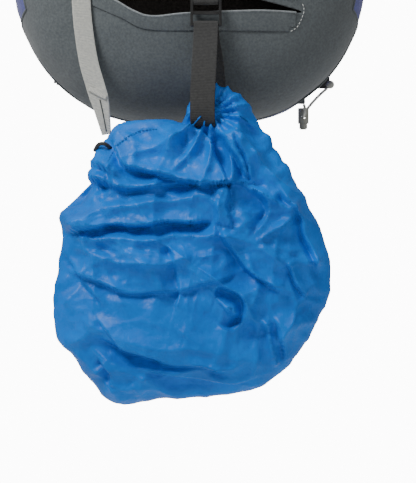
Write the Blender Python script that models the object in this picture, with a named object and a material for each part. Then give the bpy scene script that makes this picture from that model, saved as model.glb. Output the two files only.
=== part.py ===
"""Ski backpack, hung by its haul loop, with its rain cover drawn out of the lower pocket.

Metres, +Z up. The origin is the highest point inside the haul loop, where a hook bears.
The front of the pack faces -Y, the wearer's back faces +Y, and the wearer's left is -X.
"""

import math

import bmesh
import bpy
from mathutils import Vector

# Driving dimensions
HANG_DROP = 0.040  # hook to the top of the bag
BAG_HEIGHT = 0.540
BAG_WIDTH = 0.376  # at its widest, a third of the way up
BAG_DEPTH = 0.190
TOP_WIDTH = 0.300
BACK_Y = 0.025  # outer face of the back panel

# Sheet materials and gaps
PANEL = 0.003  # outer fabric and its foam, as one sheet
LINER = 0.003
TOUCH = 0.0003  # between pieces that lie on each other
SEAM = 0.0012  # between neighbouring panels
EASE = 0.001  # between a piece and the faceted surface that it lies over
WEBBING = 0.0012  # thickness of webbing

# How the bag rounds off, each measured along the bag's height
WIDEST_UP = 0.200
BASE_ROUND_FRONT = 0.120
BASE_ROUND_BACK = 0.050
TOP_ROUND_WIDTH = 0.110
TOP_ROUND_FRONT = 0.100
TOP_ROUND_BACK = 0.040
FRONT_POWER = 2.6
BACK_POWER = 8.0
CORNER_POWER = 2.5
AROUND = 36

BAG_TOP = -HANG_DROP
BAG_BASE = BAG_TOP - BAG_HEIGHT
MID_Y = BACK_Y - BAG_DEPTH / 2

# Front flap and its zip
FLAP_WIDTH = 0.236
FLAP_CORNER = 0.060
FLAP_HINGE_UP = 0.180  # fold line above the base
FLAP_TOP_DOWN = 0.065  # top of the flap below the bag's top
FLAP_CLEARANCE = 0.0015
ZIP_GARAGE = 0.030  # closed end of the zip above the fold line
ZIP_OFFSET = 0.0045
ZIP_WIDTH = 0.004
ZIP_THICK = 0.0015

# Cover pocket in the lower front
POCKET_WIDTH = 0.250
POCKET_LOW_UP = 0.020
POCKET_HIGH_UP = 0.135
POCKET_DEPTH = 0.037  # from the front of the bag to the pocket's back wall

# Tether and its ladder lock
TETHER_WIDTH = 0.0245
LOCK_X = 0.017
LOCK_HIGH_UP = 0.1165  # top bar above the base
LOCK_LOW_UP = 0.0935  # bottom bar above the base
LOCK_OUTER = TETHER_WIDTH + 0.0065
LOCK_THICK = 0.004
BAR_RADIUS = 0.0018
LOOP_CLEARANCE = 0.0006

# Rain cover
COVER_HALF_DEPTH = 0.045
COVER_WALL = 0.0035
MOUTH_HALF_WIDTH = 0.085
MOUTH_HALF_HEIGHT = 0.054
HEM_RADIUS = 0.0025

# Harness
STRAP_WIDTH = 0.060
STRAP_THICK = 0.013
STRAP_WEBBING = 0.020
HIP_WING_LENGTH = 0.105
HIP_WING_HEIGHT = 0.052
HIP_WING_THICK = 0.008
HIP_LEVEL_UP = 0.062
SLOT_CLEARANCE = 0.0012

# Shock cord and its lock
CORD_RADIUS = 0.0015
LOCK_BODY_RADIUS = 0.0058
PLUNGER_RADIUS = 0.0043
PLUNGER_TRAVEL = 0.002
PLUNGER_CLEARANCE = 0.0003

FLAP_HINGE_Z = BAG_BASE + FLAP_HINGE_UP
FLAP_TOP_Z = BAG_TOP - FLAP_TOP_DOWN
POCKET_BACK_Y = MID_Y - BAG_DEPTH / 2 + POCKET_DEPTH
COVER_Y = MID_Y - BAG_DEPTH / 2 - 0.011
COVER_MIDDLE = (0.003, -0.1455)  # x, and height above the base


# ---------------------------------------------------------------- materials


def material(name, colour, roughness, metallic=0.0):
    """A Principled material from an sRGB hex colour."""
    made = bpy.data.materials.get(name)
    if made:
        return made
    made = bpy.data.materials.new(name)
    made.use_nodes = True
    channels = [int(colour[i : i + 2], 16) / 255 for i in (0, 2, 4)]
    linear = [c / 12.92 if c <= 0.04045 else ((c + 0.055) / 1.055) ** 2.4 for c in channels]
    shader = made.node_tree.nodes["Principled BSDF"]
    shader.inputs["Base Color"].default_value = (*linear, 1.0)
    shader.inputs["Roughness"].default_value = roughness
    shader.inputs["Metallic"].default_value = metallic
    return made


def charcoal():
    return material("charcoal_softshell", "4F5556", 0.85)


def purple():
    return material("purple_ripstop", "3D4287", 0.7)


def lining():
    return material("grey_lining", "8C9196", 0.75)


def spacer_mesh():
    return material("black_spacer_mesh", "24272A", 0.95)


def black_webbing():
    return material("black_webbing", "2B2B2A", 0.8)


def grey_webbing():
    return material("grey_webbing", "BDBDB3", 0.75)


def black_plastic():
    return material("black_acetal", "202020", 0.4)


def grey_plastic():
    return material("grey_acetal", "9A9B93", 0.45)


def lime():
    return material("lime_cord", "9CC83C", 0.6)


def blue_nylon():
    return material("blue_coated_nylon", "0A7FD6", 0.4)


# ---------------------------------------------------------------- mesh helpers


def add_object(name, bm, look):
    """Closes the bmesh into a named object with its faces outwards."""
    bmesh.ops.recalc_face_normals(bm, faces=bm.faces)
    mesh = bpy.data.meshes.new(name)
    bm.to_mesh(mesh)
    bm.free()
    made = bpy.data.objects.new(name, mesh)
    bpy.context.scene.collection.objects.link(made)
    if look:
        mesh.materials.append(look)
    return made


def rings_object(name, rings, look=None, cyclic=False):
    """A closed skin over rings of equal size: flat ends, or joined end to end if cyclic."""
    bm = bmesh.new()
    rows = [[bm.verts.new(p) for p in ring] for ring in rings]
    pairs = list(zip(rows, rows[1:]))
    if cyclic:
        pairs.append((rows[-1], rows[0]))
    else:
        bm.faces.new(rows[0])
        bm.faces.new(list(reversed(rows[-1])))
    for low, high in pairs:
        for i in range(len(low)):
            j = (i + 1) % len(low)
            bm.faces.new((low[i], low[j], high[j], high[i]))
    return add_object(name, bm, look)


def carve(target, cutter, operation="DIFFERENCE"):
    """Applies one exact Boolean and removes the cutter."""
    modifier = target.modifiers.new("carve", "BOOLEAN")
    modifier.operation = operation
    modifier.solver = "EXACT"
    modifier.object = cutter
    depsgraph = bpy.context.evaluated_depsgraph_get()
    mesh = bpy.data.meshes.new_from_object(target.evaluated_get(depsgraph))
    target.modifiers.clear()
    target.data = mesh
    bpy.data.objects.remove(cutter)
    return target


def painted(target, look):
    """Gives the whole object one material."""
    target.data.materials.clear()
    target.data.materials.append(look)
    for face in target.data.polygons:
        face.material_index = 0
    return target


def prism(outline, axis, low, high):
    """A prism over an outline: of (y, z) along axis 0, of (x, z) along axis 1, of (x, y) along axis 2."""

    def place(point, at):
        placed = list(point)
        placed.insert(axis, at)
        return Vector(placed)

    return rings_object("prism", [[place(p, at) for p in outline] for at in (low, high)])


def box(low, high, name="box", look=None):
    """A box between two corners."""
    outline = [(low[0], low[1]), (high[0], low[1]), (high[0], high[1]), (low[0], high[1])]
    rings = [[Vector((x, y, z)) for x, y in outline] for z in (low[2], high[2])]
    return rings_object(name, rings, look)


def soft_box(name, low, high, radius, look, segments=2):
    """A box with all its edges rounded."""
    made = box(low, high, name, look)
    bm = bmesh.new()
    bm.from_mesh(made.data)
    bmesh.ops.bevel(
        bm, geom=bm.edges[:], offset=radius, segments=segments, profile=0.5, affect="EDGES"
    )
    bm.to_mesh(made.data)
    bm.free()
    return made


def rod(start, end, radius, sides=16, name="rod", look=None):
    """A round bar between two points."""
    start = Vector(start)
    end = Vector(end)
    along = (end - start).normalized()
    across = along.orthogonal().normalized()
    up = along.cross(across)
    ring = [
        across * math.cos(math.tau * i / sides) + up * math.sin(math.tau * i / sides)
        for i in range(sides)
    ]
    return rings_object(name, [[at + radius * p for p in ring] for at in (start, end)], look)


def smooth(points, steps, closed=False):
    """Points on a Catmull-Rom curve through the given points."""
    points = [Vector(p) for p in points]
    count = len(points)
    made = []
    for i in range(count if closed else count - 1):
        if closed:
            a, b, c, d = (points[(i + k) % count] for k in (-1, 0, 1, 2))
        else:
            a, b, c, d = (points[min(max(i + k, 0), count - 1)] for k in (-1, 0, 1, 2))
        for k in range(steps):
            t = k / steps
            made.append(
                0.5
                * (
                    2 * b
                    + (c - a) * t
                    + (2 * a - 5 * b + 4 * c - d) * t**2
                    + (3 * b - a - 3 * c + d) * t**3
                )
            )
    if not closed:
        made.append(points[-1])
    return made


def swept(name, path, side, sections, look, cyclic=False):
    """Sections of (across, out) points carried along path, with across towards side."""
    count = len(path)
    rings = []
    for i, at in enumerate(path):
        if cyclic:
            along = path[(i + 1) % count] - path[i - 1]
        else:
            along = path[min(i + 1, count - 1)] - path[max(i - 1, 0)]
        along.normalize()
        out = along.cross(side).normalized()
        across = out.cross(along)
        section = sections[i] if isinstance(sections[0], list) else sections
        rings.append([at + across * u + out * v for u, v in section])
    return rings_object(name, rings, look, cyclic)


def flat_section(width, thick):
    """The cross-section of webbing."""
    u, v = width / 2, thick / 2
    return ((-u, -v), (u, -v), (u, v), (-u, v))


def padded_section(width, thick, sides=12, power=3.0):
    """The cross-section of a padded strap: a superellipse."""
    made = []
    for i in range(sides):
        t = math.tau * (i + 0.5) / sides
        c, s = math.cos(t), math.sin(t)
        made.append(
            (
                width / 2 * math.copysign(abs(c) ** (2 / power), c),
                thick / 2 * math.copysign(abs(s) ** (2 / power), s),
            )
        )
    return made


# ---------------------------------------------------------------- the bag's form


def rounding(share):
    """A superellipse corner: 0 at the edge of the bag, 1 from share 1 on."""
    share = min(max(share, 0.0), 1.0)
    return (1 - (1 - share) ** CORNER_POWER) ** (1 / CORNER_POWER)


def bag_section(z, offset):
    """Half width, front depth and back depth of the bag at height z, grown by offset."""
    up = z - BAG_BASE + offset
    down = BAG_TOP + offset - z
    taper = min(max((z - BAG_BASE - WIDEST_UP) / (BAG_HEIGHT - WIDEST_UP), 0.0), 1.0)
    half = BAG_WIDTH / 2 + offset - taper * (BAG_WIDTH - TOP_WIDTH) / 2
    deep = BAG_DEPTH / 2 + offset
    width = half * rounding(up / WIDEST_UP) * rounding(down / TOP_ROUND_WIDTH)
    front = deep * rounding(up / BASE_ROUND_FRONT) * rounding(down / TOP_ROUND_FRONT)
    back = deep * rounding(up / BASE_ROUND_BACK) * rounding(down / TOP_ROUND_BACK)
    return width, front, back


def bag_point(z, turn, offset):
    """The bag's surface at height z and turn, which runs from +X over the back."""
    width, front, back = bag_section(z, offset)
    c, s = math.cos(turn), math.sin(turn)
    power, deep = (BACK_POWER, back) if s >= 0 else (FRONT_POWER, front)
    x = width * math.copysign(abs(c) ** (2 / power), c)
    y = MID_Y + deep * math.copysign(abs(s) ** (2 / power), s)
    return Vector((x, y, z))


def front_y(x, z, offset=0.0):
    """The y of the bag's front surface at x and z."""
    width, front, _ = bag_section(z, offset)
    share = min(abs(x) / width, 1.0)
    return MID_Y - front * (1 - share**FRONT_POWER) ** (1 / FRONT_POWER)


def side_x(z, offset=0.0):
    """The bag's half width at height z."""
    return bag_section(z, offset)[0]


def bag_form(offset):
    """The whole bag as one solid, grown by offset."""
    curve = 2 / CORNER_POWER
    low = [WIDEST_UP * (1 - math.cos(math.radians(a)) ** curve) for a in (8, 18, 30, 42, 54, 66, 78)]
    high = [TOP_ROUND_WIDTH * (1 - math.cos(math.radians(a)) ** curve) for a in (76, 58, 40, 24, 10)]
    levels = [BAG_BASE - offset + up for up in low]
    straight = BAG_HEIGHT - WIDEST_UP - TOP_ROUND_WIDTH
    levels += [BAG_BASE + WIDEST_UP + straight * k / 4 for k in range(5)]
    levels += [BAG_TOP + offset - down for down in high]
    turns = [math.tau * i / AROUND for i in range(AROUND)]
    return rings_object("form", [[bag_point(z, t, offset) for t in turns] for z in levels])


def skin(name, outer, inner, region, look):
    """The part of the bag's wall between two offsets that lies in a region."""
    made = carve(bag_form(outer), bag_form(inner))
    made.name = name
    carve(made, region, "INTERSECT")
    return painted(made, look)


FAR = 0.6
SIDE_SEAM_Y = MID_Y - 0.025  # seam between the front and the side panels
LOW_SEAM_Y = MID_Y + 0.008  # the same seam where the front panel wraps the base
BACK_SEAM_Y = BACK_Y - 0.022
CAP_Z = BAG_TOP - 0.035
BASE_SIDE_Z = BAG_BASE + 0.080
SEAM_LOW_Z = BAG_BASE + 0.090
SEAM_HIGH_Z = BAG_BASE + 0.130


def flap_outline(grow):
    """(x, z) outline of the flap: a straight fold line below, round corners above."""
    half = FLAP_WIDTH / 2 + grow
    radius = FLAP_CORNER + grow
    top = FLAP_TOP_Z + grow
    low = FLAP_HINGE_Z - grow
    points = [(-half, low), (half, low)]
    for k in range(9):
        t = math.pi / 2 * k / 8
        points.append((half - radius + radius * math.cos(t), top - radius + radius * math.sin(t)))
    for k in range(9):
        t = math.pi / 2 * (1 + k / 8)
        points.append((radius - half + radius * math.cos(t), top - radius + radius * math.sin(t)))
    return points


def flap_cutter(grow):
    """The flap's outline through the front wall only."""
    return prism(flap_outline(grow), 1, -FAR, MID_Y - 0.02)


# Lower edge and upper edge of the pocket's mouth, as x and height above the base
MOUTH_LOW = [
    (-0.100, 0.1280),
    (-0.075, 0.1195),
    (-0.056, 0.1085),
    (-0.037, 0.1025),
    (0.001, 0.1055),
    (0.071, 0.1085),
    (0.108, 0.1078),
]
MOUTH_HIGH = [
    (0.113, 0.1092),
    (0.105, 0.1120),
    (0.069, 0.1205),
    (0.030, 0.1275),
    (-0.020, 0.1310),
    (-0.070, 0.1325),
    (-0.097, 0.1310),
]
BAND_LOW = [(0.109, 0.0945), (0.101, 0.0885), (-0.039, 0.0885), (-0.097, 0.1145)]


def lower_front_panel():
    """The front panel from the fold line down and round under the base, with the pocket's mouth."""
    top = FLAP_HINGE_Z - FLAP_CLEARANCE
    outline = [
        (-FAR, BAG_BASE - 0.05),
        (LOW_SEAM_Y, BAG_BASE - 0.05),
        (LOW_SEAM_Y, SEAM_LOW_Z),
        (SIDE_SEAM_Y, SEAM_HIGH_Z),
        (SIDE_SEAM_Y, top),
        (-FAR, top),
    ]
    made = skin("lower_front_panel", 0, -PANEL, prism(outline, 0, -FAR, FAR), charcoal())
    mouth = [(x, BAG_BASE + up) for x, up in MOUTH_LOW + MOUTH_HIGH]
    carve(made, prism(mouth, 1, -FAR, POCKET_BACK_Y))
    return painted(made, charcoal())


def pocket_band():
    """The facing sewn along the lower edge of the pocket's mouth."""
    edge = [(x, BAG_BASE + up - SEAM) for x, up in MOUTH_LOW]
    outline = edge + [(x, BAG_BASE + up) for x, up in BAND_LOW]
    region = prism(outline, 1, -FAR, MID_Y)
    return skin("pocket_band", TOUCH + PANEL / 2, TOUCH, region, charcoal())


def front_yoke():
    """The front panel round the flap, above the fold line."""
    low = FLAP_HINGE_Z - FLAP_CLEARANCE + SEAM
    region = box((-FAR, -FAR, low), (FAR, SIDE_SEAM_Y, CAP_Z))
    made = skin("front_yoke", 0, -PANEL, region, charcoal())
    carve(made, flap_cutter(FLAP_CLEARANCE))
    return painted(made, charcoal())


def side_panel(name, side):
    """A side panel between the front panel and the back panel."""
    outline = [
        (LOW_SEAM_Y + SEAM, BASE_SIDE_Z + SEAM),
        (LOW_SEAM_Y + SEAM, SEAM_LOW_Z + SEAM),
        (SIDE_SEAM_Y + SEAM, SEAM_HIGH_Z + SEAM),
        (SIDE_SEAM_Y + SEAM, CAP_Z),
        (BACK_SEAM_Y, CAP_Z),
        (BACK_SEAM_Y, BASE_SIDE_Z + SEAM),
    ]
    ends = (0.02, FAR) if side > 0 else (-FAR, -0.02)
    return skin(name, 0, -PANEL, prism(outline, 0, *ends), purple())


def back_panel():
    """The panel behind the frame, which the pads are sewn to."""
    region = box((-FAR, BACK_SEAM_Y + SEAM, BASE_SIDE_Z + SEAM), (FAR, FAR, CAP_Z))
    return skin("back_panel", 0, -PANEL, region, charcoal())


def base_panel():
    """The doubled base behind the front panel's wrap."""
    region = box((-FAR, LOW_SEAM_Y + SEAM, BAG_BASE - 0.05), (FAR, FAR, BASE_SIDE_Z))
    return skin("base_panel", 0, -PANEL, region, purple())


def top_panel():
    """The cap over the top of the bag."""
    region = box((-FAR, -FAR, CAP_Z + SEAM), (FAR, FAR, FAR))
    return skin("top_panel", 0, -PANEL, region, charcoal())


def recess(grow):
    """The space that the cover pocket takes out of the main compartment."""
    half = POCKET_WIDTH / 2 + grow
    low = BAG_BASE + POCKET_LOW_UP - grow
    high = BAG_BASE + POCKET_HIGH_UP + grow
    return box((-half, -FAR, low), (half, POCKET_BACK_Y + grow, high))


def main_bag():
    """The lining: one open bag, dented in front by the cover pocket."""
    outer = carve(bag_form(-PANEL - TOUCH), recess(0))
    inner = carve(bag_form(-PANEL - TOUCH - LINER), recess(LINER))
    outer.name = "main_bag"
    carve(outer, inner)
    carve(outer, flap_cutter(FLAP_CLEARANCE))
    return painted(outer, lining())


def front_flap():
    """The flap that opens the main compartment, panel and lining together."""
    inner = -PANEL - TOUCH - LINER
    return skin("front_flap", 0, inner, flap_cutter(0), charcoal())


# ---------------------------------------------------------------- zip


def zip_path(grow):
    """Points up one leg of the zip, over the flap's top and down the other leg."""
    half = FLAP_WIDTH / 2 + grow
    radius = FLAP_CORNER + grow
    top = FLAP_TOP_Z + grow
    low = FLAP_HINGE_Z + ZIP_GARAGE
    steps = 10
    leg = [(-half, low + (top - radius - low) * k / steps) for k in range(steps)]
    corner = []
    for k in range(11):
        t = math.pi * (1 - k / 20)
        corner.append((radius - half + radius * math.cos(t), top - radius + radius * math.sin(t)))
    left = leg + corner
    across = [(x, top) for x in (-0.03, 0.0, 0.03)]
    right = [(-x, z) for x, z in reversed(left)]
    lift = EASE + ZIP_THICK / 2
    return [Vector((x, front_y(x, z, lift), z)) for x, z in left + across + right]


def zip_side(name, grow):
    """One toothed tape of the zip, a flat band beside the seam."""
    path = zip_path(grow)
    rings = []
    count = len(path)
    for i, at in enumerate(path):
        along = (path[min(i + 1, count - 1)] - path[max(i - 1, 0)]).normalized()
        across = Vector((-along.z, 0, along.x)).normalized()
        out = along.cross(across).normalized()
        rings.append([at + across * u + out * v for u, v in flat_section(ZIP_WIDTH, ZIP_THICK)])
    return rings_object(name, rings, black_plastic())


SLIDER_DROP = 0.006
SLIDER_HALF = 0.0040
SLIDER_THICK = 0.0045


def slider_place(side):
    """Middle of a zip slider's inner face, at the closed end of its leg."""
    reach = FLAP_WIDTH / 2 + ZIP_OFFSET
    z = FLAP_HINGE_Z + ZIP_GARAGE + SLIDER_DROP
    y = front_y(reach - SLIDER_HALF, z) - EASE - ZIP_THICK - 0.0012
    return Vector((side * reach, y, z))


def zip_slider(name, side):
    """A slider with the bridge that its puller hangs from."""
    at = slider_place(side)
    body = soft_box(
        name,
        at + Vector((-SLIDER_HALF, -SLIDER_THICK, -0.006)),
        at + Vector((SLIDER_HALF, 0, 0.006)),
        0.0008,
        black_plastic(),
        1,
    )
    bridge = box(
        at + Vector((-0.0015, -SLIDER_THICK - 0.0042, -0.004)),
        at + Vector((0.0015, -SLIDER_THICK + 0.001, 0.004)),
    )
    carve(body, bridge, "UNION")
    gap = box(
        at + Vector((-0.005, -SLIDER_THICK - 0.0028, -0.0026)),
        at + Vector((0.005, -SLIDER_THICK - 0.0002, 0.0026)),
    )
    carve(body, gap)
    return painted(body, black_plastic())


PULLER_LENGTH = 0.040


def zip_puller(name, side):
    """A lime cord loop with a moulded grip, hung through the slider's bridge."""
    at = slider_place(side) + Vector((0, -SLIDER_THICK - 0.0015, -0.0009))
    half = 0.0031
    loop = [
        (-half, -0.020),
        (-half, -0.004),
        (-half, 0.0),
        (0.0, 0.0),
        (half, 0.0),
        (half, -0.004),
        (half, -0.020),
    ]
    path = [at + Vector((u, 0, v)) for u, v in loop]
    radius = 0.0008
    ring = [(radius * math.cos(math.tau * k / 6), radius * math.sin(math.tau * k / 6)) for k in range(6)]
    cord = swept(name, path, Vector((0, 1, 0)), ring, lime())
    grip = soft_box(
        "grip",
        at + Vector((-SLIDER_HALF, -0.0019, -PULLER_LENGTH)),
        at + Vector((SLIDER_HALF, 0.0013, -0.018)),
        0.0009,
        lime(),
        1,
    )
    carve(cord, grip, "UNION")
    return painted(cord, lime())


# ---------------------------------------------------------------- haul loop and frame


HAUL_WIDTH = 0.020
HAUL_THICK = 0.003
HAUL_HALF = 0.046


def haul_loop():
    """A webbing handle, bar-tacked to the cap at both feet. Its inside top is the origin."""
    rise = HAUL_THICK / 2
    foot = BAG_TOP - 0.0055
    points = [
        (-HAUL_HALF - 0.016, foot),
        (-HAUL_HALF - 0.003, foot + 0.003),
        (-HAUL_HALF + 0.006, foot + 0.016),
        (-0.026, rise - 0.008),
        (-0.012, rise),
        (0.012, rise),
        (0.026, rise - 0.008),
        (HAUL_HALF - 0.006, foot + 0.016),
        (HAUL_HALF + 0.003, foot + 0.003),
        (HAUL_HALF + 0.016, foot),
    ]
    path = smooth([(x, 0, z) for x, z in points], 3)
    section = flat_section(HAUL_WIDTH, HAUL_THICK)
    made = swept("haul_loop", path, Vector((0, 1, 0)), section, black_webbing())
    carve(made, bag_form(TOUCH))
    return painted(made, black_webbing())


INNER_BACK_Y = BACK_Y - PANEL - TOUCH - LINER
SHEET_THICK = 0.0015
SHEET_HALF = 0.100
STAY_THICK = 0.003


def frame_sheet():
    """The stiff plastic sheet that the bag's back is built on."""
    face = INNER_BACK_Y - 0.0012
    return soft_box(
        "frame_sheet",
        (-SHEET_HALF, face - SHEET_THICK, BAG_BASE + 0.062),
        (SHEET_HALF, face, BAG_TOP - 0.062),
        0.0004,
        material("white_hdpe_sheet", "D8D8D0", 0.5),
        1,
    )


def frame_stay():
    """The aluminium stay down the middle of the frame sheet."""
    face = INNER_BACK_Y - 0.0012 - SHEET_THICK - TOUCH
    return soft_box(
        "frame_stay",
        (-0.0125, face - STAY_THICK, BAG_BASE + 0.070),
        (0.0125, face, BAG_TOP - 0.070),
        0.0006,
        material("aluminium_stay", "B8BCC0", 0.35, 1.0),
        1,
    )


SLEEVE_DEPTH = 0.015
SLEEVE_WALL = 0.0015


def hydration_sleeve():
    """An open-topped sleeve for a water bladder, in front of the stay."""
    back = INNER_BACK_Y - 0.0012 - SHEET_THICK - 2 * TOUCH - STAY_THICK
    low = Vector((-0.095, back - SLEEVE_DEPTH, BAG_BASE + 0.190))
    high = Vector((0.095, back, BAG_TOP - 0.085))
    made = soft_box("hydration_sleeve", low, high, 0.001, lining(), 1)
    wall = Vector((SLEEVE_WALL, SLEEVE_WALL, SLEEVE_WALL))
    inside = box(low + wall, (high.x - SLEEVE_WALL, high.y - SLEEVE_WALL, high.z + 0.01))
    carve(made, inside)
    return painted(made, lining())


# ---------------------------------------------------------------- back system


PAD_THICK = 0.012
PAD_FACE_Y = BACK_Y + TOUCH


def back_pad(name, side):
    """A foam pad beside the spine channel."""
    inner, outer = side * 0.016, side * 0.088
    low_x, high_x = min(inner, outer), max(inner, outer)
    return soft_box(
        name,
        (low_x, PAD_FACE_Y, BAG_BASE + 0.130),
        (high_x, PAD_FACE_Y + PAD_THICK, BAG_TOP - 0.095),
        0.0045,
        spacer_mesh(),
        2,
    )


LUMBAR_HALF = 0.112
TUNNEL_HALF = HIP_WING_HEIGHT / 2 + SLOT_CLEARANCE
TUNNEL_DEPTH = HIP_WING_THICK + 2 * SLOT_CLEARANCE


def lumbar_pad():
    """The lumbar pad, with a tunnel on its inner side where the hip wings are stowed."""
    middle = BAG_BASE + HIP_LEVEL_UP
    half = TUNNEL_HALF + 0.010
    outer = PAD_FACE_Y + TUNNEL_DEPTH + 0.012
    made = soft_box(
        "lumbar_pad",
        (-LUMBAR_HALF, PAD_FACE_Y, middle - half),
        (LUMBAR_HALF, outer, middle + half),
        0.005,
        spacer_mesh(),
        2,
    )
    tunnel = box(
        (-LUMBAR_HALF - 0.02, PAD_FACE_Y - 0.01, middle - TUNNEL_HALF),
        (LUMBAR_HALF + 0.02, PAD_FACE_Y + TUNNEL_DEPTH, middle + TUNNEL_HALF),
    )
    carve(made, tunnel)
    return painted(made, spacer_mesh())


def wing_y():
    """Middle of the hip wings' thickness."""
    return PAD_FACE_Y + SLOT_CLEARANCE + HIP_WING_THICK / 2


def hip_wing(name, side):
    """A padded hip wing, pushed into the lumbar tunnel."""
    middle = BAG_BASE + HIP_LEVEL_UP
    inner, outer = 0.002, 0.002 + HIP_WING_LENGTH
    ends = sorted((side * inner, side * outer))
    return soft_box(
        name,
        (ends[0], wing_y() - HIP_WING_THICK / 2, middle - HIP_WING_HEIGHT / 2),
        (ends[1], wing_y() + HIP_WING_THICK / 2, middle + HIP_WING_HEIGHT / 2),
        0.0025,
        spacer_mesh(),
        2,
    )


HIP_TAIL = 0.016


def hip_webbing(name, side):
    """The webbing from the wing's tip to its half of the buckle."""
    start = 0.002 + HIP_WING_LENGTH + TOUCH
    middle = BAG_BASE + HIP_LEVEL_UP
    ends = sorted((side * start, side * (start + HIP_TAIL)))
    return box(
        (ends[0], wing_y() - WEBBING / 2, middle - STRAP_WEBBING / 2),
        (ends[1], wing_y() + WEBBING / 2, middle + STRAP_WEBBING / 2),
        name,
        black_webbing(),
    )


BUCKLE_HALF = 0.0145
BUCKLE_THICK = 0.007
MALE_LENGTH = 0.028
FEMALE_LENGTH = 0.030


def buckle_body(name, start, along, across, out, female):
    """Half of a side-release buckle, its webbing end at start and its mouth or prongs along."""

    def block(a0, a1, c0, c1, half_out):
        corners = []
        for a in (a0, a1):
            ring = [(c0, -half_out), (c1, -half_out), (c1, half_out), (c0, half_out)]
            corners.append([start + along * a + across * c + out * o for c, o in ring])
        return rings_object("block", corners)

    thick = BUCKLE_THICK / 2
    if female:
        made = block(0, FEMALE_LENGTH, -BUCKLE_HALF, BUCKLE_HALF, thick)
        carve(made, block(0.009, FEMALE_LENGTH + 0.002, -0.0120, 0.0120, 0.0022))
        for side in (-1, 1):
            window = sorted((side * 0.0115, side * (BUCKLE_HALF + 0.001)))
            carve(made, block(0.014, 0.023, *window, 0.0026))
    else:
        made = block(0, 0.009, -BUCKLE_HALF, BUCKLE_HALF, thick)
        carve(made, block(0.008, MALE_LENGTH - 0.003, -0.0015, 0.0015, 0.0017), "UNION")
        for side in (-1, 1):
            arm = sorted((side * 0.0062, side * 0.0088))
            carve(made, block(0.008, MALE_LENGTH, *arm, 0.0017), "UNION")
            barb = sorted((side * 0.0080, side * 0.0108))
            carve(made, block(0.018, MALE_LENGTH - 0.003, *barb, 0.0017), "UNION")
    carve(made, block(0.0025, 0.0062, -0.0108, 0.0108, thick + 0.001))
    made.name = name
    return painted(made, black_plastic())


def hip_buckle(name, side, female):
    """The buckle half at the end of a hip wing's webbing."""
    start = 0.002 + HIP_WING_LENGTH + HIP_TAIL + 2 * TOUCH
    at = Vector((side * start, wing_y(), BAG_BASE + HIP_LEVEL_UP))
    return buckle_body(name, at, Vector((side, 0, 0)), Vector((0, 0, 1)), Vector((0, side, 0)), female)


# ---------------------------------------------------------------- shoulder straps


# Middle of the padded strap, as x, y and depth below the bag's top
STRAP_ROUTE = [
    (0.052, 0.0420, 0.050),
    (0.055, 0.0560, 0.066),
    (0.062, 0.0800, 0.110),
    (0.078, 0.1000, 0.180),
    (0.094, 0.0980, 0.250),
    (0.106, 0.0790, 0.310),
    (0.112, 0.0620, 0.350),
]
STRAP_SHARE = (0.36, 0.62, 1.0, 1.0, 0.95, 0.80, 0.50)
ANCHOR_X = 0.139
ANCHOR_Y = 0.0345
ANCHOR_UP = 0.110


def strap_points(side):
    """The strap's route on one side of the bag."""
    stretch = BAG_HEIGHT / 0.540
    return [Vector((side * x, y, BAG_TOP - down * stretch)) for x, y, down in STRAP_ROUTE]


def shoulder_pad(name, side):
    """A padded shoulder strap that bows out behind the back panel."""
    steps = 3
    path = smooth(strap_points(side), steps)
    shares = smooth([(share, 0, 0) for share in STRAP_SHARE], steps)
    sections = [padded_section(STRAP_WIDTH * s.x, STRAP_THICK * (0.45 + 0.55 * s.x)) for s in shares]
    return swept(name, path, Vector((side, 0, 0)), sections, spacer_mesh())


def webbing_route(side):
    """From the end of the padded strap down to the anchor by the hip."""
    start = strap_points(side)[-1]
    end = Vector((side * ANCHOR_X, ANCHOR_Y, BAG_BASE + ANCHOR_UP))
    run = (end - start).normalized()
    first = start + run * 0.0250
    return [first, first.lerp(end, 0.35) + Vector((0, 0.003, 0)), first.lerp(end, 0.7), end]


def shoulder_webbing(name, side):
    """The adjusting webbing below the padded strap."""
    path = smooth(webbing_route(side), 3)
    section = flat_section(STRAP_WEBBING, WEBBING)
    return swept(name, path, Vector((side, 0, 0)), section, black_webbing())


def ladder_frame(name, middle, along, across, out, wide, tall, look):
    """A ladder lock: a flat frame with three bars and two slots."""
    thick = LOCK_THICK / 2

    def block(a0, a1, half, deep):
        ring = [(-half, -deep), (half, -deep), (half, deep), (-half, deep)]
        ends = [[middle + along * a + across * u + out * v for u, v in ring] for a in (a0, a1)]
        return rings_object(name, ends)

    made = block(-tall / 2, tall / 2, wide / 2, thick)
    rail = 0.0028
    bar = 0.0026
    slot = (tall - 3 * bar) / 2
    for low in (-tall / 2 + bar, -tall / 2 + 2 * bar + slot):
        carve(made, block(low, low + slot, wide / 2 - rail, thick + 0.001))
    return painted(made, look)


def shoulder_ladder(name, side):
    """The ladder lock sewn to the end of the padded strap."""
    start = strap_points(side)[-1]
    first = webbing_route(side)[0]
    run = (first - start).normalized()
    out = run.cross(Vector((side, 0, 0))).normalized()
    across = out.cross(run)
    middle = start + run * 0.0140
    return ladder_frame(name, middle, run, across, out, 0.026, 0.0185, black_plastic())


def strap_yoke():
    """The webbing yoke across the back panel that holds the shoulder straps' tops."""
    return soft_box(
        "strap_yoke",
        (-0.078, PAD_FACE_Y, BAG_TOP - 0.058),
        (0.078, PAD_FACE_Y + 0.002, BAG_TOP - 0.040),
        0.0006,
        black_webbing(),
        1,
    )


def lower_anchor(name, side):
    """The sewn tab at the side seam that holds the adjusting webbing."""
    z = BAG_BASE + ANCHOR_UP
    tab = box(
        (side * ANCHOR_X - 0.011, BACK_Y - 0.012, z - 0.012),
        (side * ANCHOR_X + 0.011, ANCHOR_Y - 0.0058, z + 0.006),
        name,
        black_webbing(),
    )
    carve(tab, bag_form(TOUCH))
    return painted(tab, black_webbing())


# ---------------------------------------------------------------- sternum strap


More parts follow.
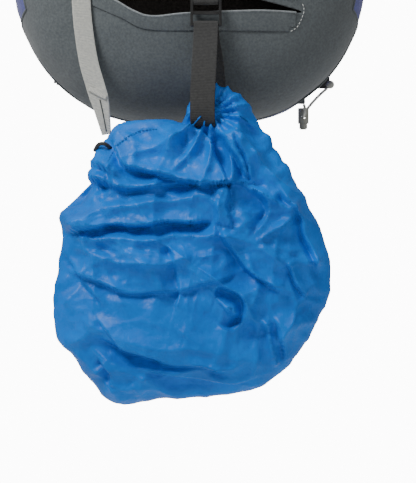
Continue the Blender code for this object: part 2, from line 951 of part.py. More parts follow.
def clip_place(side):
    """Where the sternum clip sits on the strap's outer face."""
    low, high = strap_points(side)[3], strap_points(side)[2]
    at = low.lerp(high, 0.30)
    run = (high - low).normalized()
    out = Vector((side, 0, 0)).cross(run)
    if out.y < 0:
        out = -out
    return at + out * (STRAP_THICK / 2 + 0.0048), run, out.normalized()


def sternum_clip(name, side):
    """The clip that holds the sternum strap and slides on the shoulder strap."""
    at, run, out = clip_place(side)
    across = out.cross(run)
    ring = [(-0.012, -0.002), (0.012, -0.002), (0.012, 0.002), (-0.012, 0.002)]
    ends = [[at + run * a + across * u + out * v for u, v in ring] for a in (-0.008, 0.008)]
    return rings_object(name, ends, grey_plastic())


STERNUM_WEBBING = 0.015
STERNUM_LENGTH = 0.040


def sternum_top(side):
    """The pivot of the hanging half strap, just off its clip."""
    at, _, _ = clip_place(side)
    return Vector((at.x, at.y + 0.0092, at.z))


def sternum_webbing(name, side):
    """A half of the sternum strap, hanging from its clip."""
    top = sternum_top(side)
    return box(
        top + Vector((-STERNUM_WEBBING / 2, -WEBBING / 2, -STERNUM_LENGTH)),
        top + Vector((STERNUM_WEBBING / 2, WEBBING / 2, 0.006)),
        name,
        black_webbing(),
    )


def sternum_buckle(name, side, female):
    """The buckle half at the lower end of the hanging sternum strap."""
    at = sternum_top(side) + Vector((0, 0, -STERNUM_LENGTH - TOUCH))
    return buckle_body(name, at, Vector((0, 0, -1)), Vector((1, 0, 0)), Vector((0, -1, 0)), female)


# ---------------------------------------------------------------- side compression straps


SIDE_STRAP_DOWN = 0.190
SIDE_LEAN = (BAG_WIDTH - TOP_WIDTH) / 2 / (BAG_HEIGHT - WIDEST_UP)
SIDE_LIFT = EASE + SIDE_LEAN * STRAP_WEBBING / 2


def side_arc(side, start, end, lift, steps=14):
    """Points round the side of the bag at the compression strap's height."""
    z = BAG_TOP - SIDE_STRAP_DOWN
    made = []
    for k in range(steps + 1):
        turn = math.radians(start + (end - start) * k / steps)
        point = bag_point(z, turn, lift)
        made.append(Vector((side * point.x, point.y, z)))
    return made


def side_strap(name, side):
    """The compression webbing across a side panel."""
    path = side_arc(side, 22, -40, SIDE_LIFT + WEBBING / 2)
    section = flat_section(STRAP_WEBBING, WEBBING)
    return swept(name, path, Vector((0, 0, 1)), section, grey_webbing())


def side_buckle(name, side):
    """The ladder lock on the compression strap."""
    lift = SIDE_LIFT + WEBBING + TOUCH + LOCK_THICK / 2
    low, middle, high = side_arc(side, -24, -16, lift + 0.0008, 2)
    along = (high - low).normalized()
    out = along.cross(Vector((0, 0, 1))).normalized()
    return ladder_frame(name, middle, along, Vector((0, 0, 1)), out, 0.026, 0.022, black_plastic())


# ---------------------------------------------------------------- ski strap


# Middle of the strap, as x, y in front of the bag's front plane, and height above the base
SKI_ROUTE = [
    (-0.1100, 0.0095, 0.1710),
    (-0.1095, 0.0055, 0.1550),
    (-0.1085, 0.0030, 0.1350),
    (-0.1065, 0.0020, 0.1000),
    (-0.1010, 0.0020, 0.0610),
    (-0.0940, 0.0025, 0.0350),
    (-0.0890, 0.0030, 0.0180),
    (-0.0850, 0.0035, -0.0010),
    (-0.0825, 0.0040, -0.0150),
]
SKI_WIDTH = 0.019
SKI_FREE_UP = 0.120  # above this height the strap lies on the panel
SKI_THICK = 0.0026


def ski_strap():
    """A light webbing strap with a folded, bar-tacked end, hanging in front of the panel."""
    plane = MID_Y - BAG_DEPTH / 2
    points = []
    for x, back, up in SKI_ROUTE:
        y = plane + back
        if up > SKI_FREE_UP:
            y = min(y, front_y(x + SKI_WIDTH / 2, BAG_BASE + up) - EASE - WEBBING)
        points.append((x, y, BAG_BASE + up))
    path = smooth(points, 2)
    count = len(path)
    sections = []
    for i in range(count):
        share = i / (count - 1)
        width = SKI_WIDTH * (1 - 0.55 * max(0.0, (share - 0.72) / 0.28))
        thick = WEBBING if share < 0.6 else SKI_THICK
        sections.append(list(flat_section(width, thick)))
    return swept("ski_strap", path, Vector((1, 0, 0)), sections, grey_webbing())


# ---------------------------------------------------------------- tether


BAR_Y = MID_Y - BAG_DEPTH / 2 - 0.0105


def bar(up):
    """The middle of a bar of the tether's ladder lock."""
    return Vector((LOCK_X, BAR_Y, BAG_BASE + up))


def tether_lock():
    """The ladder lock at the pocket's mouth: two rails, two round bars and a flat one."""
    high, low = bar(LOCK_HIGH_UP), bar(LOCK_LOW_UP)
    half = LOCK_OUTER / 2
    made = soft_box(
        "tether_lock",
        (LOCK_X - half, BAR_Y - LOCK_THICK / 2, low.z - 0.0025),
        (LOCK_X + half, BAR_Y + LOCK_THICK / 2, high.z + 0.0025),
        0.001,
        black_plastic(),
        1,
    )
    inner = TETHER_WIDTH / 2 + LOOP_CLEARANCE
    window = box(
        (LOCK_X - inner, BAR_Y - 0.01, low.z - 0.01), (LOCK_X + inner, BAR_Y + 0.01, high.z + 0.01)
    )
    carve(made, window)
    for at in (high, low):
        reach = Vector((half - 0.0012, 0, 0))
        carve(made, rod(at - reach, at + reach, BAR_RADIUS), "UNION")
    middle = (high + low) / 2
    cross = box(
        (LOCK_X - half + 0.001, BAR_Y - 0.0014, middle.z - 0.0016),
        (LOCK_X + half - 0.001, BAR_Y + 0.0014, middle.z + 0.0016),
    )
    carve(made, cross, "UNION")
    return painted(made, black_plastic())


def bar_turn(at, start, end, steps=6):
    """Points of webbing turning round a bar, from angle start to angle end in the y-z plane."""
    radius = BAR_RADIUS + LOOP_CLEARANCE + WEBBING / 2
    made = []
    for k in range(steps + 1):
        t = math.radians(start + (end - start) * k / steps)
        made.append(at + radius * Vector((0, math.cos(t), math.sin(t))))
    return made


def tether_anchor():
    """The short webbing loop, sewn in above the pocket's mouth, that holds the ladder lock."""
    at = bar(LOCK_HIGH_UP)
    top = BAG_BASE + 0.138
    front = front_y(LOCK_X, top) - PANEL * 0.5
    path = [Vector((LOCK_X, front - 0.0030, top + 0.009)), Vector((LOCK_X, front - 0.0036, top))]
    path += bar_turn(at, 150, 390)
    path += [Vector((LOCK_X, front - 0.0012, top - 0.001)), Vector((LOCK_X, front - 0.0012, top + 0.009))]
    path[-1].y = path[0].y + WEBBING + TOUCH * 1.5
    path[-2].y = path[1].y + WEBBING + TOUCH * 3
    section = flat_section(TETHER_WIDTH, WEBBING)
    return swept("tether_anchor", path, Vector((1, 0, 0)), section, black_webbing())


# The tether below the ladder lock, as x, y from the lock's bars, and height above the base
TETHER_FRONT = [
    (0.0165, -0.0080, 0.0800),
    (0.0150, -0.0205, 0.0500),
    (0.0138, -0.0275, 0.0240),
    (0.0135, -0.0300, 0.0060),
    (0.0140, -0.0265, -0.0065),
    (0.0160, -0.0130, -0.0105),
]
TETHER_BACK = [
    (0.0200, 0.0030, -0.0110),
    (0.0225, 0.0190, -0.0095),
    (0.0240, 0.0290, -0.0020),
    (0.0250, 0.0315, 0.0080),
    (0.0250, 0.0280, 0.0240),
    (0.0230, 0.0150, 0.0520),
    (0.0190, 0.0085, 0.0760),
]


def tether_loop(thick):
    """The long loop of webbing from the ladder lock round the cover's gathered neck."""
    at = bar(LOCK_LOW_UP)
    run = smooth(
        [(x, BAR_Y + y, BAG_BASE + up) for x, y, up in TETHER_FRONT + TETHER_BACK],
        2,
    )
    path = bar_turn(at, 0, 180) + run
    section = flat_section(TETHER_WIDTH + thick - WEBBING, thick)
    return swept("tether_webbing", path, Vector((1, 0, 0)), section, black_webbing(), cyclic=True)


# ---------------------------------------------------------------- rain cover


# The cover's outline from the front, as x and height above the base
COVER_OUTLINE = [
    (0.033, 0.0325),
    (0.051, 0.0245),
    (0.073, -0.0055),
    (0.111, -0.0705),
    (0.136, -0.1205),
    (0.139, -0.1705),
    (0.129, -0.1960),
    (0.111, -0.2305),
    (0.076, -0.2635),
    (0.041, -0.2755),
    (-0.019, -0.2785),
    (-0.079, -0.2790),
    (-0.114, -0.2355),
    (-0.132, -0.2105),
    (-0.134, -0.1705),
    (-0.127, -0.1155),
    (-0.126, -0.0955),
    (-0.103, -0.0805),
    (-0.097, -0.0505),
    (-0.091, -0.0355),
    (-0.071, -0.0085),
    (-0.039, -0.0035),
    (-0.008, -0.0045),
    (0.001, 0.0180),
    (0.016, 0.0310),
]


def cover_depth(share, wall):
    """Half the cover's depth at a share of the way from its middle to its outline."""
    return (COVER_HALF_DEPTH - wall) * (1 - share**2.4) ** (1 / 2.4)


def cover_form(wall):
    """The crumpled cover as a closed pillow, taken in by wall."""
    middle = Vector((COVER_MIDDLE[0], COVER_Y, BAG_BASE + COVER_MIDDLE[1]))
    rim = smooth([(x, COVER_Y, BAG_BASE + up) for x, up in COVER_OUTLINE], 2, closed=True)
    rings = []
    for face in (-1, 1):
        shares = (0.12, 0.42, 0.68, 0.86, 0.96)
        for share in shares if face < 0 else reversed(shares):
            ring = []
            for point in rim:
                reach = point - middle
                inside = reach * (1 - wall / reach.length)
                ring.append(middle + inside * share + Vector((0, face * cover_depth(share, wall), 0)))
            rings.append(ring)
        if face < 0:
            rings.append([middle + (p - middle) * (1 - wall / (p - middle).length) for p in rim])
    return rings_object("rain_cover", rings)


MOUTH_MIDDLE = (0.000, -0.0710)  # x, and height above the base


def mouth_ring(shrink, count=28):
    """(x, z) points round the cover's mouth."""
    made = []
    for k in range(count):
        t = math.tau * k / count
        made.append(
            (
                MOUTH_MIDDLE[0] + (MOUTH_HALF_WIDTH - shrink) * math.cos(t),
                BAG_BASE + MOUTH_MIDDLE[1] + (MOUTH_HALF_HEIGHT - shrink) * math.sin(t),
            )
        )
    return made


def rain_cover():
    """The cover: a limp shell with its elasticated mouth turned to the pack, and the tether through it."""
    made = carve(cover_form(0), cover_form(COVER_WALL))
    carve(made, prism(mouth_ring(0), 1, COVER_Y, COVER_Y + 0.1))
    carve(made, tether_loop(WEBBING + 2 * LOOP_CLEARANCE))
    return painted(made, blue_nylon())


def cover_back_y(x, z):
    """The y of the cover's back surface, about the middle of its wall."""
    middle = Vector((COVER_MIDDLE[0], 0, BAG_BASE + COVER_MIDDLE[1]))
    reach = Vector((x, 0, z)) - middle
    rim = smooth([(px, 0, BAG_BASE + up) for px, up in COVER_OUTLINE], 2, closed=True)
    turn = math.atan2(reach.z, reach.x)

    def apart(point):
        other = math.atan2(point.z - middle.z, point.x - middle.x)
        return abs((other - turn + math.pi) % math.tau - math.pi)

    edge = min(rim, key=apart)
    share = min(reach.length / (edge - middle).length, 0.98)
    return COVER_Y + cover_depth(share, COVER_WALL / 2)


def cover_hem():
    """The elastic cord in the cover's hem, as a closed ring just inside the mouth."""
    ring = mouth_ring(HEM_RADIUS + 2 * TOUCH + 0.0006)
    path = [Vector((x, cover_back_y(x, z), z)) for x, z in ring]
    radius = HEM_RADIUS
    section = [(radius * math.cos(math.tau * k / 8), radius * math.sin(math.tau * k / 8)) for k in range(8)]
    return swept("cover_hem", path, Vector((0, 1, 0)), section, black_webbing(), cyclic=True)


# ---------------------------------------------------------------- shock cord and cord lock


CORD_SIDE = 0.641 * BAG_WIDTH / 2
CORD_LOCK = Vector((CORD_SIDE, -0.045, BAG_BASE + 0.0035))
BODY_HIGH = 0.0165
SOCKET_HIGH = 0.0145
HOLE_UP = 0.0070
PLUNGER_HIGH = 0.0100
PLUNGER_LOW = -0.0063

# The shock cord's route, from its tab through the lock to its end ball, with x from the lock's middle
CORD_ROUTE = [
    (0.0002, -0.0560, 0.0224),
    (0.0008, -0.0585, 0.0195),
    (0.0008, -0.0582, 0.0150),
    (0.0003, -0.0545, 0.0115),
    (0.0000, -0.0495, 0.0105),
    (0.0000, -0.0450, 0.0105),
    (0.0000, -0.0405, 0.0105),
    (0.0003, -0.0355, 0.0115),
    (0.0020, -0.0318, 0.0155),
    (0.0075, -0.0300, 0.0235),
    (0.0165, -0.0300, 0.0335),
    (0.0263, -0.0320, 0.0425),
]
BALL_PLACE = (CORD_SIDE + 0.0295, -0.0330, 0.0462)
BALL_RADIUS = 0.0045


def shock_cord():
    """The elastic cord, a round tube on a poly curve."""
    curve = bpy.data.curves.new("shock_cord", "CURVE")
    curve.dimensions = "3D"
    curve.render_resolution_u = 0
    curve.bevel_depth = CORD_RADIUS
    curve.bevel_resolution = 2
    curve.use_fill_caps = True
    points = smooth([(CORD_SIDE + x, y, BAG_BASE + up) for x, y, up in CORD_ROUTE], 2)
    spline = curve.splines.new("POLY")
    spline.points.add(len(points) - 1)
    for place, point in zip(spline.points, points):
        place.co = (*point, 1)
    made = bpy.data.objects.new("shock_cord", curve)
    bpy.context.scene.collection.objects.link(made)
    curve.materials.append(grey_webbing())
    return made


def cord_tab():
    """The sewn webbing tab that holds the shock cord at the lower corner."""
    z = BAG_BASE + 0.0275
    x = side_x(z)
    made = box(
        (x - 0.010, -0.0625, z - 0.0035), (x + 0.0040, -0.0480, z + 0.006), "cord_tab", black_webbing()
    )
    carve(made, bag_form(TOUCH))
    return painted(made, black_webbing())


def cord_lock_body():
    """The barrel of the cord lock, bored from below for the plunger and across for the cord."""
    at = CORD_LOCK
    made = rod(at, at + Vector((0, 0, BODY_HIGH)), LOCK_BODY_RADIUS, 20, "cord_lock_body")
    bore = PLUNGER_RADIUS + PLUNGER_CLEARANCE
    carve(made, rod(at - Vector((0, 0, 0.01)), at + Vector((0, 0, SOCKET_HIGH)), bore, 20))
    hole = at + Vector((0, 0, HOLE_UP))
    reach = Vector((0, 0.01, 0))
    carve(made, rod(hole - reach, hole + reach, CORD_RADIUS + 2 * PLUNGER_CLEARANCE, 12))
    return painted(made, grey_plastic())


def cord_lock_plunger():
    """The sprung plunger, slotted for the cord."""
    at = CORD_LOCK
    low = at + Vector((0, 0, PLUNGER_LOW))
    high = at + Vector((0, 0, PLUNGER_HIGH))
    made = rod(low + Vector((0, 0, 0.001)), high, PLUNGER_RADIUS, 20, "cord_lock_plunger")
    carve(made, rod(low, low + Vector((0, 0, 0.002)), PLUNGER_RADIUS - 0.001, 20), "UNION")
    half = CORD_RADIUS + 2 * PLUNGER_CLEARANCE
    slot = box(
        at + Vector((-half, -0.01, HOLE_UP - half - PLUNGER_TRAVEL)),
        at + Vector((half, 0.01, HOLE_UP + half)),
    )
    carve(made, slot)
    return painted(made, grey_plastic())


def cord_lock_spring():
    """The coil spring over the plunger."""
    turns, per_turn, wire = 3.0, 10, 0.00035
    radius = 0.0026
    low = PLUNGER_HIGH + wire + 0.0001
    high = SOCKET_HIGH - wire - 0.0001
    count = int(turns * per_turn)
    path = []
    for k in range(count + 1):
        t = math.tau * turns * k / count
        at = low + (high - low) * k / count
        path.append(CORD_LOCK + Vector((radius * math.cos(t), radius * math.sin(t), at)))
    ring = [(wire * math.cos(math.tau * k / 6), wire * math.sin(math.tau * k / 6)) for k in range(6)]
    look = material("spring_steel", "A8AAAC", 0.3, 1.0)
    return swept("cord_lock_spring", path, Vector((0, 0, 1)), ring, look)


def cord_end_ball():
    """The moulded ball crimped on the shock cord's free end."""
    bm = bmesh.new()
    bmesh.ops.create_uvsphere(bm, u_segments=14, v_segments=8, radius=BALL_RADIUS)
    place = Vector((BALL_PLACE[0], BALL_PLACE[1], BAG_BASE + BALL_PLACE[2]))
    bmesh.ops.translate(bm, verts=bm.verts, vec=place)
    made = add_object("cord_end_ball", bm, grey_plastic())
    last = Vector((CORD_SIDE + CORD_ROUTE[-1][0], CORD_ROUTE[-1][1], BAG_BASE + CORD_ROUTE[-1][2]))
    run = (place - last).normalized()
    carve(made, rod(last - run * 0.01, last + run * TOUCH, CORD_RADIUS + TOUCH, 12))
    return painted(made, grey_plastic())


# ---------------------------------------------------------------- the whole pack


def build():
    """Makes every piece of the pack."""
    for made in list(bpy.data.objects):
        bpy.data.objects.remove(made)
    main_bag()
    lower_front_panel()
    pocket_band()
    front_yoke()
    back_panel()
    base_panel()
    top_panel()
    front_flap()
    zip_side("zip_tape_bag", ZIP_OFFSET)
    zip_side("zip_tape_flap", -ZIP_OFFSET)
    haul_loop()
    frame_sheet()
    frame_stay()
    hydration_sleeve()
    lumbar_pad()
    strap_yoke()
    for word, side in (("left", -1), ("right", 1)):
        side_panel("side_panel_" + word, side)
        zip_slider("zip_slider_" + word, side)
        zip_puller("zip_puller_" + word, side)
        back_pad("back_pad_" + word, side)
        hip_wing("hip_wing_" + word, side)
        hip_webbing("hip_webbing_" + word, side)
        hip_buckle("hip_buckle_" + word, side, side > 0)
        shoulder_pad("shoulder_pad_" + word, side)
        shoulder_webbing("shoulder_webbing_" + word, side)
        shoulder_ladder("shoulder_ladder_" + word, side)
        lower_anchor("lower_anchor_" + word, side)
        sternum_clip("sternum_clip_" + word, side)
        sternum_webbing("sternum_webbing_" + word, side)
        sternum_buckle("sternum_buckle_" + word, side, side > 0)
        side_strap("side_strap_" + word, side)
        side_buckle("side_buckle_" + word, side)
    ski_strap()
    tether_lock()
    tether_anchor()
    tether_loop(WEBBING)
    rain_cover()
    cover_hem()
    shock_cord()
    cord_tab()
    cord_lock_body()
    cord_lock_plunger()
    cord_lock_spring()
    cord_end_ball()


build()
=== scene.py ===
"""Looks for a ski backpack hung by its haul loop, with its rain cover drawn out of its lower pocket."""

import math

import bmesh
import bpy
import numpy as np
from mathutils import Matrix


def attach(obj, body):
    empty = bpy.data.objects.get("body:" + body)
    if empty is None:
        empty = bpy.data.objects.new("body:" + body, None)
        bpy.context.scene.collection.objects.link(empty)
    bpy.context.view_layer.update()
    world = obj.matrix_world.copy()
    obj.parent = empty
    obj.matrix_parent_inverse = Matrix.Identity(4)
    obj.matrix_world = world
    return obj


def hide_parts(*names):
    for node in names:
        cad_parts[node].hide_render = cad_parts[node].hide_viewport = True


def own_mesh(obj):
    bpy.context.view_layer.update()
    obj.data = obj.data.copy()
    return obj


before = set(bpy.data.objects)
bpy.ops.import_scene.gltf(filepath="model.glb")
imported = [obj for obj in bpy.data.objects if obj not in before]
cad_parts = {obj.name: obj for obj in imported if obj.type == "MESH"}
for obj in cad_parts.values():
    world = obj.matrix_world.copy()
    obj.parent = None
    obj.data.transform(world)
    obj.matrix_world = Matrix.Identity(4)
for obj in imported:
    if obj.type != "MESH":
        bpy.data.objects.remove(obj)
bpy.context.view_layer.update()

# ------------------------------------------------------------------ camera and studio
# A long lens looks straight at the lower front of the hanging pack. A pale card is the floor, and
# the light is four large soft lamps and an even white sky.

camera_data = bpy.data.cameras.new("camera")
camera_data.lens = 134
camera = bpy.data.objects.new("camera", camera_data)
camera.location = (0.019, -1.96, -0.702)
camera.rotation_euler = (math.pi / 2, 0, 0)
bpy.context.scene.collection.objects.link(camera)
bpy.context.scene.camera = camera


def linear(colour):
    """An sRGB hex colour as linear red, green, blue and alpha."""
    parts = np.array([int(colour[i : i + 2], 16) / 255 for i in (1, 3, 5)])
    low = parts / 12.92
    high = ((parts + 0.055) / 1.055) ** 2.4
    return (*np.where(parts <= 0.04045, low, high), 1.0)


def grid_mesh(name, points, closed=False, uv=None):
    """A grid of points (rows, columns, 3) as a mesh of quads; closed joins the last column to the first."""
    rows, columns = points.shape[:2]
    mesh = bpy.data.meshes.new(name)
    index = np.arange(rows * columns).reshape(rows, columns)
    if closed:
        index = np.concatenate([index, index[:, :1]], axis=1)
    corners = (index[:-1, :-1], index[:-1, 1:], index[1:, 1:], index[1:, :-1])
    faces = np.stack([c.reshape(-1) for c in corners], axis=1)
    mesh.from_pydata(points.reshape(-1, 3).tolist(), [], faces.tolist())
    if uv is not None:
        if closed:
            uv = np.concatenate([uv, uv[:, -1:] * 2 - uv[:, -2:-1]], axis=1)
        parts = (uv[:-1, :-1], uv[:-1, 1:], uv[1:, 1:], uv[1:, :-1])
        layer = mesh.uv_layers.new(name="cloth")
        layer.data.foreach_set("uv", np.stack([p.reshape(-1, 2) for p in parts], axis=1).reshape(-1))
    mesh.polygons.foreach_set("use_smooth", np.ones(len(mesh.polygons), dtype=bool))
    mesh.update()
    made = bpy.data.objects.new(name, mesh)
    bpy.context.scene.collection.objects.link(made)
    return made


floor_side = np.array([-2.0, 2.0])
floor_points = np.stack(np.broadcast_arrays(floor_side[None, :], floor_side[:, None], -1.25), axis=2)
floor_card = grid_mesh("floor_card", floor_points)
card = bpy.data.materials.new("matt_pale_card")
card.use_nodes = True
card.node_tree.nodes["Principled BSDF"].inputs["Base Color"].default_value = linear("#F4F4F4")
card.node_tree.nodes["Principled BSDF"].inputs["Roughness"].default_value = 0.9
floor_card.data.materials.append(card)

# The sky shows bright behind the pack and lights it softly
world = bpy.data.worlds.new("white_sky")
world.use_nodes = True
sky = world.node_tree.nodes["Background"]
sky.inputs["Color"].default_value = linear("#FFFFFF")
ray_kind = world.node_tree.nodes.new("ShaderNodeLightPath")
strength = world.node_tree.nodes.new("ShaderNodeMapRange")
strength.inputs["To Min"].default_value = 0.27
strength.inputs["To Max"].default_value = 12.0
world.node_tree.links.new(ray_kind.outputs["Is Camera Ray"], strength.inputs["Value"])
world.node_tree.links.new(strength.outputs["Result"], sky.inputs["Strength"])
bpy.context.scene.world = world


def soft_lamp(name, place, turn_by, size, power):
    """A large square lamp, turned by Euler angles in degrees."""
    lamp = bpy.data.lights.new(name, "AREA")
    lamp.size = size
    lamp.energy = power
    made = bpy.data.objects.new(name, lamp)
    made.location = place
    made.rotation_euler = [math.radians(a) for a in turn_by]
    bpy.context.scene.collection.objects.link(made)


soft_lamp("key_lamp", (-0.75, -0.95, 0.35), (42, 0, -38), 0.45, 19)
soft_lamp("fill_lamp", (1.5, -1.4, -0.3), (80, 0, 48), 1.4, 5)
soft_lamp("top_lamp", (0.0, -0.3, 2.2), (0, 0, 0), 2.6, 40)
soft_lamp("back_lamp", (0.2, 1.0, 1.3), (-45, 0, 0), 1.2, 16)

# ------------------------------------------------------------------ shock cord
# Elastic cord, 3 mm, with a braided jacket. It leaves its sewn tab at the lower right corner,
# runs through the cord lock and ends in a crimped ball beside the pack.

BAG_TOP = -0.040
BAG_HEIGHT = 0.540
BAG_BASE = BAG_TOP - BAG_HEIGHT


def smooth(points, steps, closed=False):
    """Points on the Catmull-Rom curve through the given points, as one array."""
    points = np.asarray(points, dtype=float)
    if closed:
        padded = np.concatenate([points[-1:], points, points[:2]])
        spans = len(points)
    else:
        padded = np.concatenate([points[:1], points, points[-1:]])
        spans = len(points) - 1
    a, b, c, d = (padded[k : k + spans, None] for k in range(4))
    t = (np.arange(steps) / steps)[None, :, None]
    curve = 2 * b + (c - a) * t + (2 * a - 5 * b + 4 * c - d) * t**2 + (3 * b - a - 3 * c + d) * t**3
    curve = (0.5 * curve).reshape(-1, points.shape[1])
    return curve if closed else np.concatenate([curve, points[-1:]])


def add_node(tree, kind, settings=(), links=()):
    """Adds a node, sets its properties or socket values by name, and links sockets into it."""
    made = tree.nodes.new(kind)
    for key, value in dict(settings).items():
        if isinstance(key, str) and hasattr(made, key):
            setattr(made, key, value)
        else:
            made.inputs[key].default_value = value
    for key, source in dict(links).items():
        tree.links.new(source, made.inputs[key])
    return made


def start_material(name, colour, roughness, **values):
    """A Principled material with its colour and roughness; returns it with its tree and shader."""
    made = bpy.data.materials.new(name)
    made.use_nodes = True
    tree = made.node_tree
    shader = tree.nodes["Principled BSDF"]
    shader.inputs["Base Color"].default_value = linear(colour)
    shader.inputs["Roughness"].default_value = roughness
    for key, value in values.items():
        shader.inputs[key.replace("_", " ")].default_value = value
    return made, tree, shader


def uneven_colour(tree, shader, place, dark, light, scale, detail=3.0):
    """Colours the shader between two tones by a noise pattern."""
    noise = add_node(
        tree, "ShaderNodeTexNoise", {"Scale": scale, "Detail": detail, "Roughness": 0.6}, {"Vector": place}
    )
    ramp = add_node(tree, "ShaderNodeValToRGB", (), {"Fac": noise.outputs["Fac"]})
    ramp.color_ramp.elements[0].position = 0.36
    ramp.color_ramp.elements[0].color = linear(dark)
    ramp.color_ramp.elements[1].position = 0.64
    ramp.color_ramp.elements[1].color = linear(light)
    tree.links.new(ramp.outputs["Color"], shader.inputs["Base Color"])


def wave_scale(pitch):
    """The scale at which a wave texture repeats once in each pitch."""
    return math.tau / (20 * pitch)


def webbing_material(name, dark, light, thread=1.6, roughness=0.75):
    """Woven polyester webbing: ribs across it every 1.6 mm and fine twill along it, both in its bump.
    The strap's own map runs in millimetres, so the ribs follow every bend."""
    made, tree, shader = start_material(name, light, roughness, Sheen_Weight=0.15)
    place = add_node(tree, "ShaderNodeUVMap").outputs["UV"]
    uneven_colour(tree, shader, place, dark, light, 0.35)
    ribs = add_node(
        tree,
        "ShaderNodeTexWave",
        {"bands_direction": "Y", "Scale": wave_scale(thread), "Distortion": 0.4, "Detail": 1.0},
        {"Vector": place},
    )
    twill = add_node(
        tree,
        "ShaderNodeTexWave",
        {"bands_direction": "X", "Scale": wave_scale(1.1), "Distortion": 0.2},
        {"Vector": place},
    )
    both = add_node(
        tree, "ShaderNodeMath", {"operation": "ADD"}, {0: ribs.outputs["Fac"], 1: twill.outputs["Fac"]}
    )
    bump = add_node(
        tree, "ShaderNodeBump", {"Strength": 0.5, "Distance": 0.0005}, {"Height": both.outputs[0]}
    )
    tree.links.new(bump.outputs["Normal"], shader.inputs["Normal"])
    return made


# Woven polyester: black reads as a very dark warm grey with paler thread crowns.
black_webbing = webbing_material("woven_black_polyester_webbing", "#212121", "#2D2D2C")
# The same webbing in light grey, slightly soiled in its ribs.
grey_webbing = webbing_material("woven_light_grey_webbing", "#B1B2AC", "#C3C3BA")


def paint(piece, material):
    """Gives a piece or a CAD node one material."""
    piece.data.materials.clear()
    piece.data.materials.append(material)


def stand_in(piece, material, slot, body, *nodes):
    """Paints a piece and hangs it on its body, in place of the CAD nodes named, if any."""
    paint(piece, material)
    for node in nodes:
        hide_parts(node)
    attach(piece, body)


def frame_along(path, side, closed=False):
    """Unit vectors across and out of a strap at every point of its path: across keeps close to side."""
    if closed:
        along = np.roll(path, -1, axis=0) - np.roll(path, 1, axis=0)
    else:
        along = np.gradient(path, axis=0)
    along /= np.linalg.norm(along, axis=1, keepdims=True)
    side = np.broadcast_to(np.asarray(side, dtype=float), path.shape)
    out = np.cross(along, side)
    out /= np.linalg.norm(out, axis=1, keepdims=True)
    return np.cross(out, along), out


def face_outwards(piece):
    """Turns all faces over if the closed mesh encloses a negative volume."""
    mesh = piece.data
    mesh.calc_loop_triangles()
    points = np.zeros(len(mesh.vertices) * 3)
    mesh.vertices.foreach_get("co", points)
    triangles = np.zeros(len(mesh.loop_triangles) * 3, dtype=int)
    mesh.loop_triangles.foreach_get("vertices", triangles)
    a, b, c = points.reshape(-1, 3)[triangles.reshape(-1, 3)].transpose(1, 0, 2)
    if np.einsum("ij,ij->i", a, np.cross(b, c)).sum() < 0:
        mesh.flip_normals()
    return piece


def swept(name, path, side, section, closed=False, ends=True):
    """A profile of (across, out) points carried along a path. section is one profile or one for each
    point; its ends close to a point. The map runs across and along the piece in millimetres."""
    over, out = frame_along(path, side, closed)
    section = np.broadcast_to(section, (len(path), *np.shape(section)[-2:]))
    points = path[:, None] + over[:, None] * section[..., :1] + out[:, None] * section[..., 1:]
    steps = np.linalg.norm(np.diff(path, axis=0), axis=1)
    along = np.concatenate([[0], np.cumsum(steps)]) * 1000
    if closed:
        points = np.concatenate([points, points[:1]])
        along = np.concatenate([along, [along[-1] + steps[-1] * 1000]])
        section = np.concatenate([section, section[:1]])
    elif ends:
        first = points[:1].mean(axis=1, keepdims=True) + 0 * points[:1]
        last = points[-1:].mean(axis=1, keepdims=True) + 0 * points[-1:]
        points = np.concatenate([first, points, last])
        along = np.concatenate([along[:1], along, along[-1:]])
        section = np.concatenate([section[:1], section, section[-1:]])
    uv = np.stack(np.broadcast_arrays(section[..., 0] * 1000, along[:, None]), axis=2)
    made = grid_mesh(name, points, closed=True, uv=uv)
    return close_up(made)


def weld(piece, reach=1e-6):
    """Merges the points of poles and seams that lie on each other."""
    bm = bmesh.new()
    bm.from_mesh(piece.data)
    bmesh.ops.remove_doubles(bm, verts=bm.verts, dist=reach)
    bm.to_mesh(piece.data)
    bm.free()


def close_up(piece):
    """Closes the poles of a mesh and turns its faces outwards."""
    weld(piece)
    return face_outwards(piece)


def round_section(radius, sides=12):
    """A circle as a profile."""
    t = np.arange(sides) * math.tau / sides
    return np.stack([radius * np.cos(t), radius * np.sin(t)], axis=1)


CORD_RADIUS = 0.0015
CORD_ROUTE = [
    (0.1207, -0.0560, 0.0224), (0.1213, -0.0585, 0.0195), (0.1213, -0.0582, 0.0150),
    (0.1208, -0.0545, 0.0115), (0.1205, -0.0495, 0.0105), (0.1205, -0.0450, 0.0105),
    (0.1205, -0.0405, 0.0105), (0.1208, -0.0355, 0.0115), (0.1225, -0.0318, 0.0155),
    (0.1280, -0.0300, 0.0235), (0.1370, -0.0300, 0.0335), (0.1468, -0.0320, 0.0425),
]
cord_path = smooth(np.array(CORD_ROUTE) + (0, 0, BAG_BASE), 4)
shock_cord = swept("shock_cord_braid", cord_path, (0.3, 0.2, 0.9), round_section(CORD_RADIUS))
stand_in(shock_cord, grey_webbing, "grey_webbing", "pack", "shock_cord")

# ------------------------------------------------------------------ bag panels
# Cut panels of laminated polyester, sewn edge to edge: charcoal in front and behind, purple at the
# sides and base. Each panel is a fine sheet of cloth 2.4 mm thick with slight pulls in it.

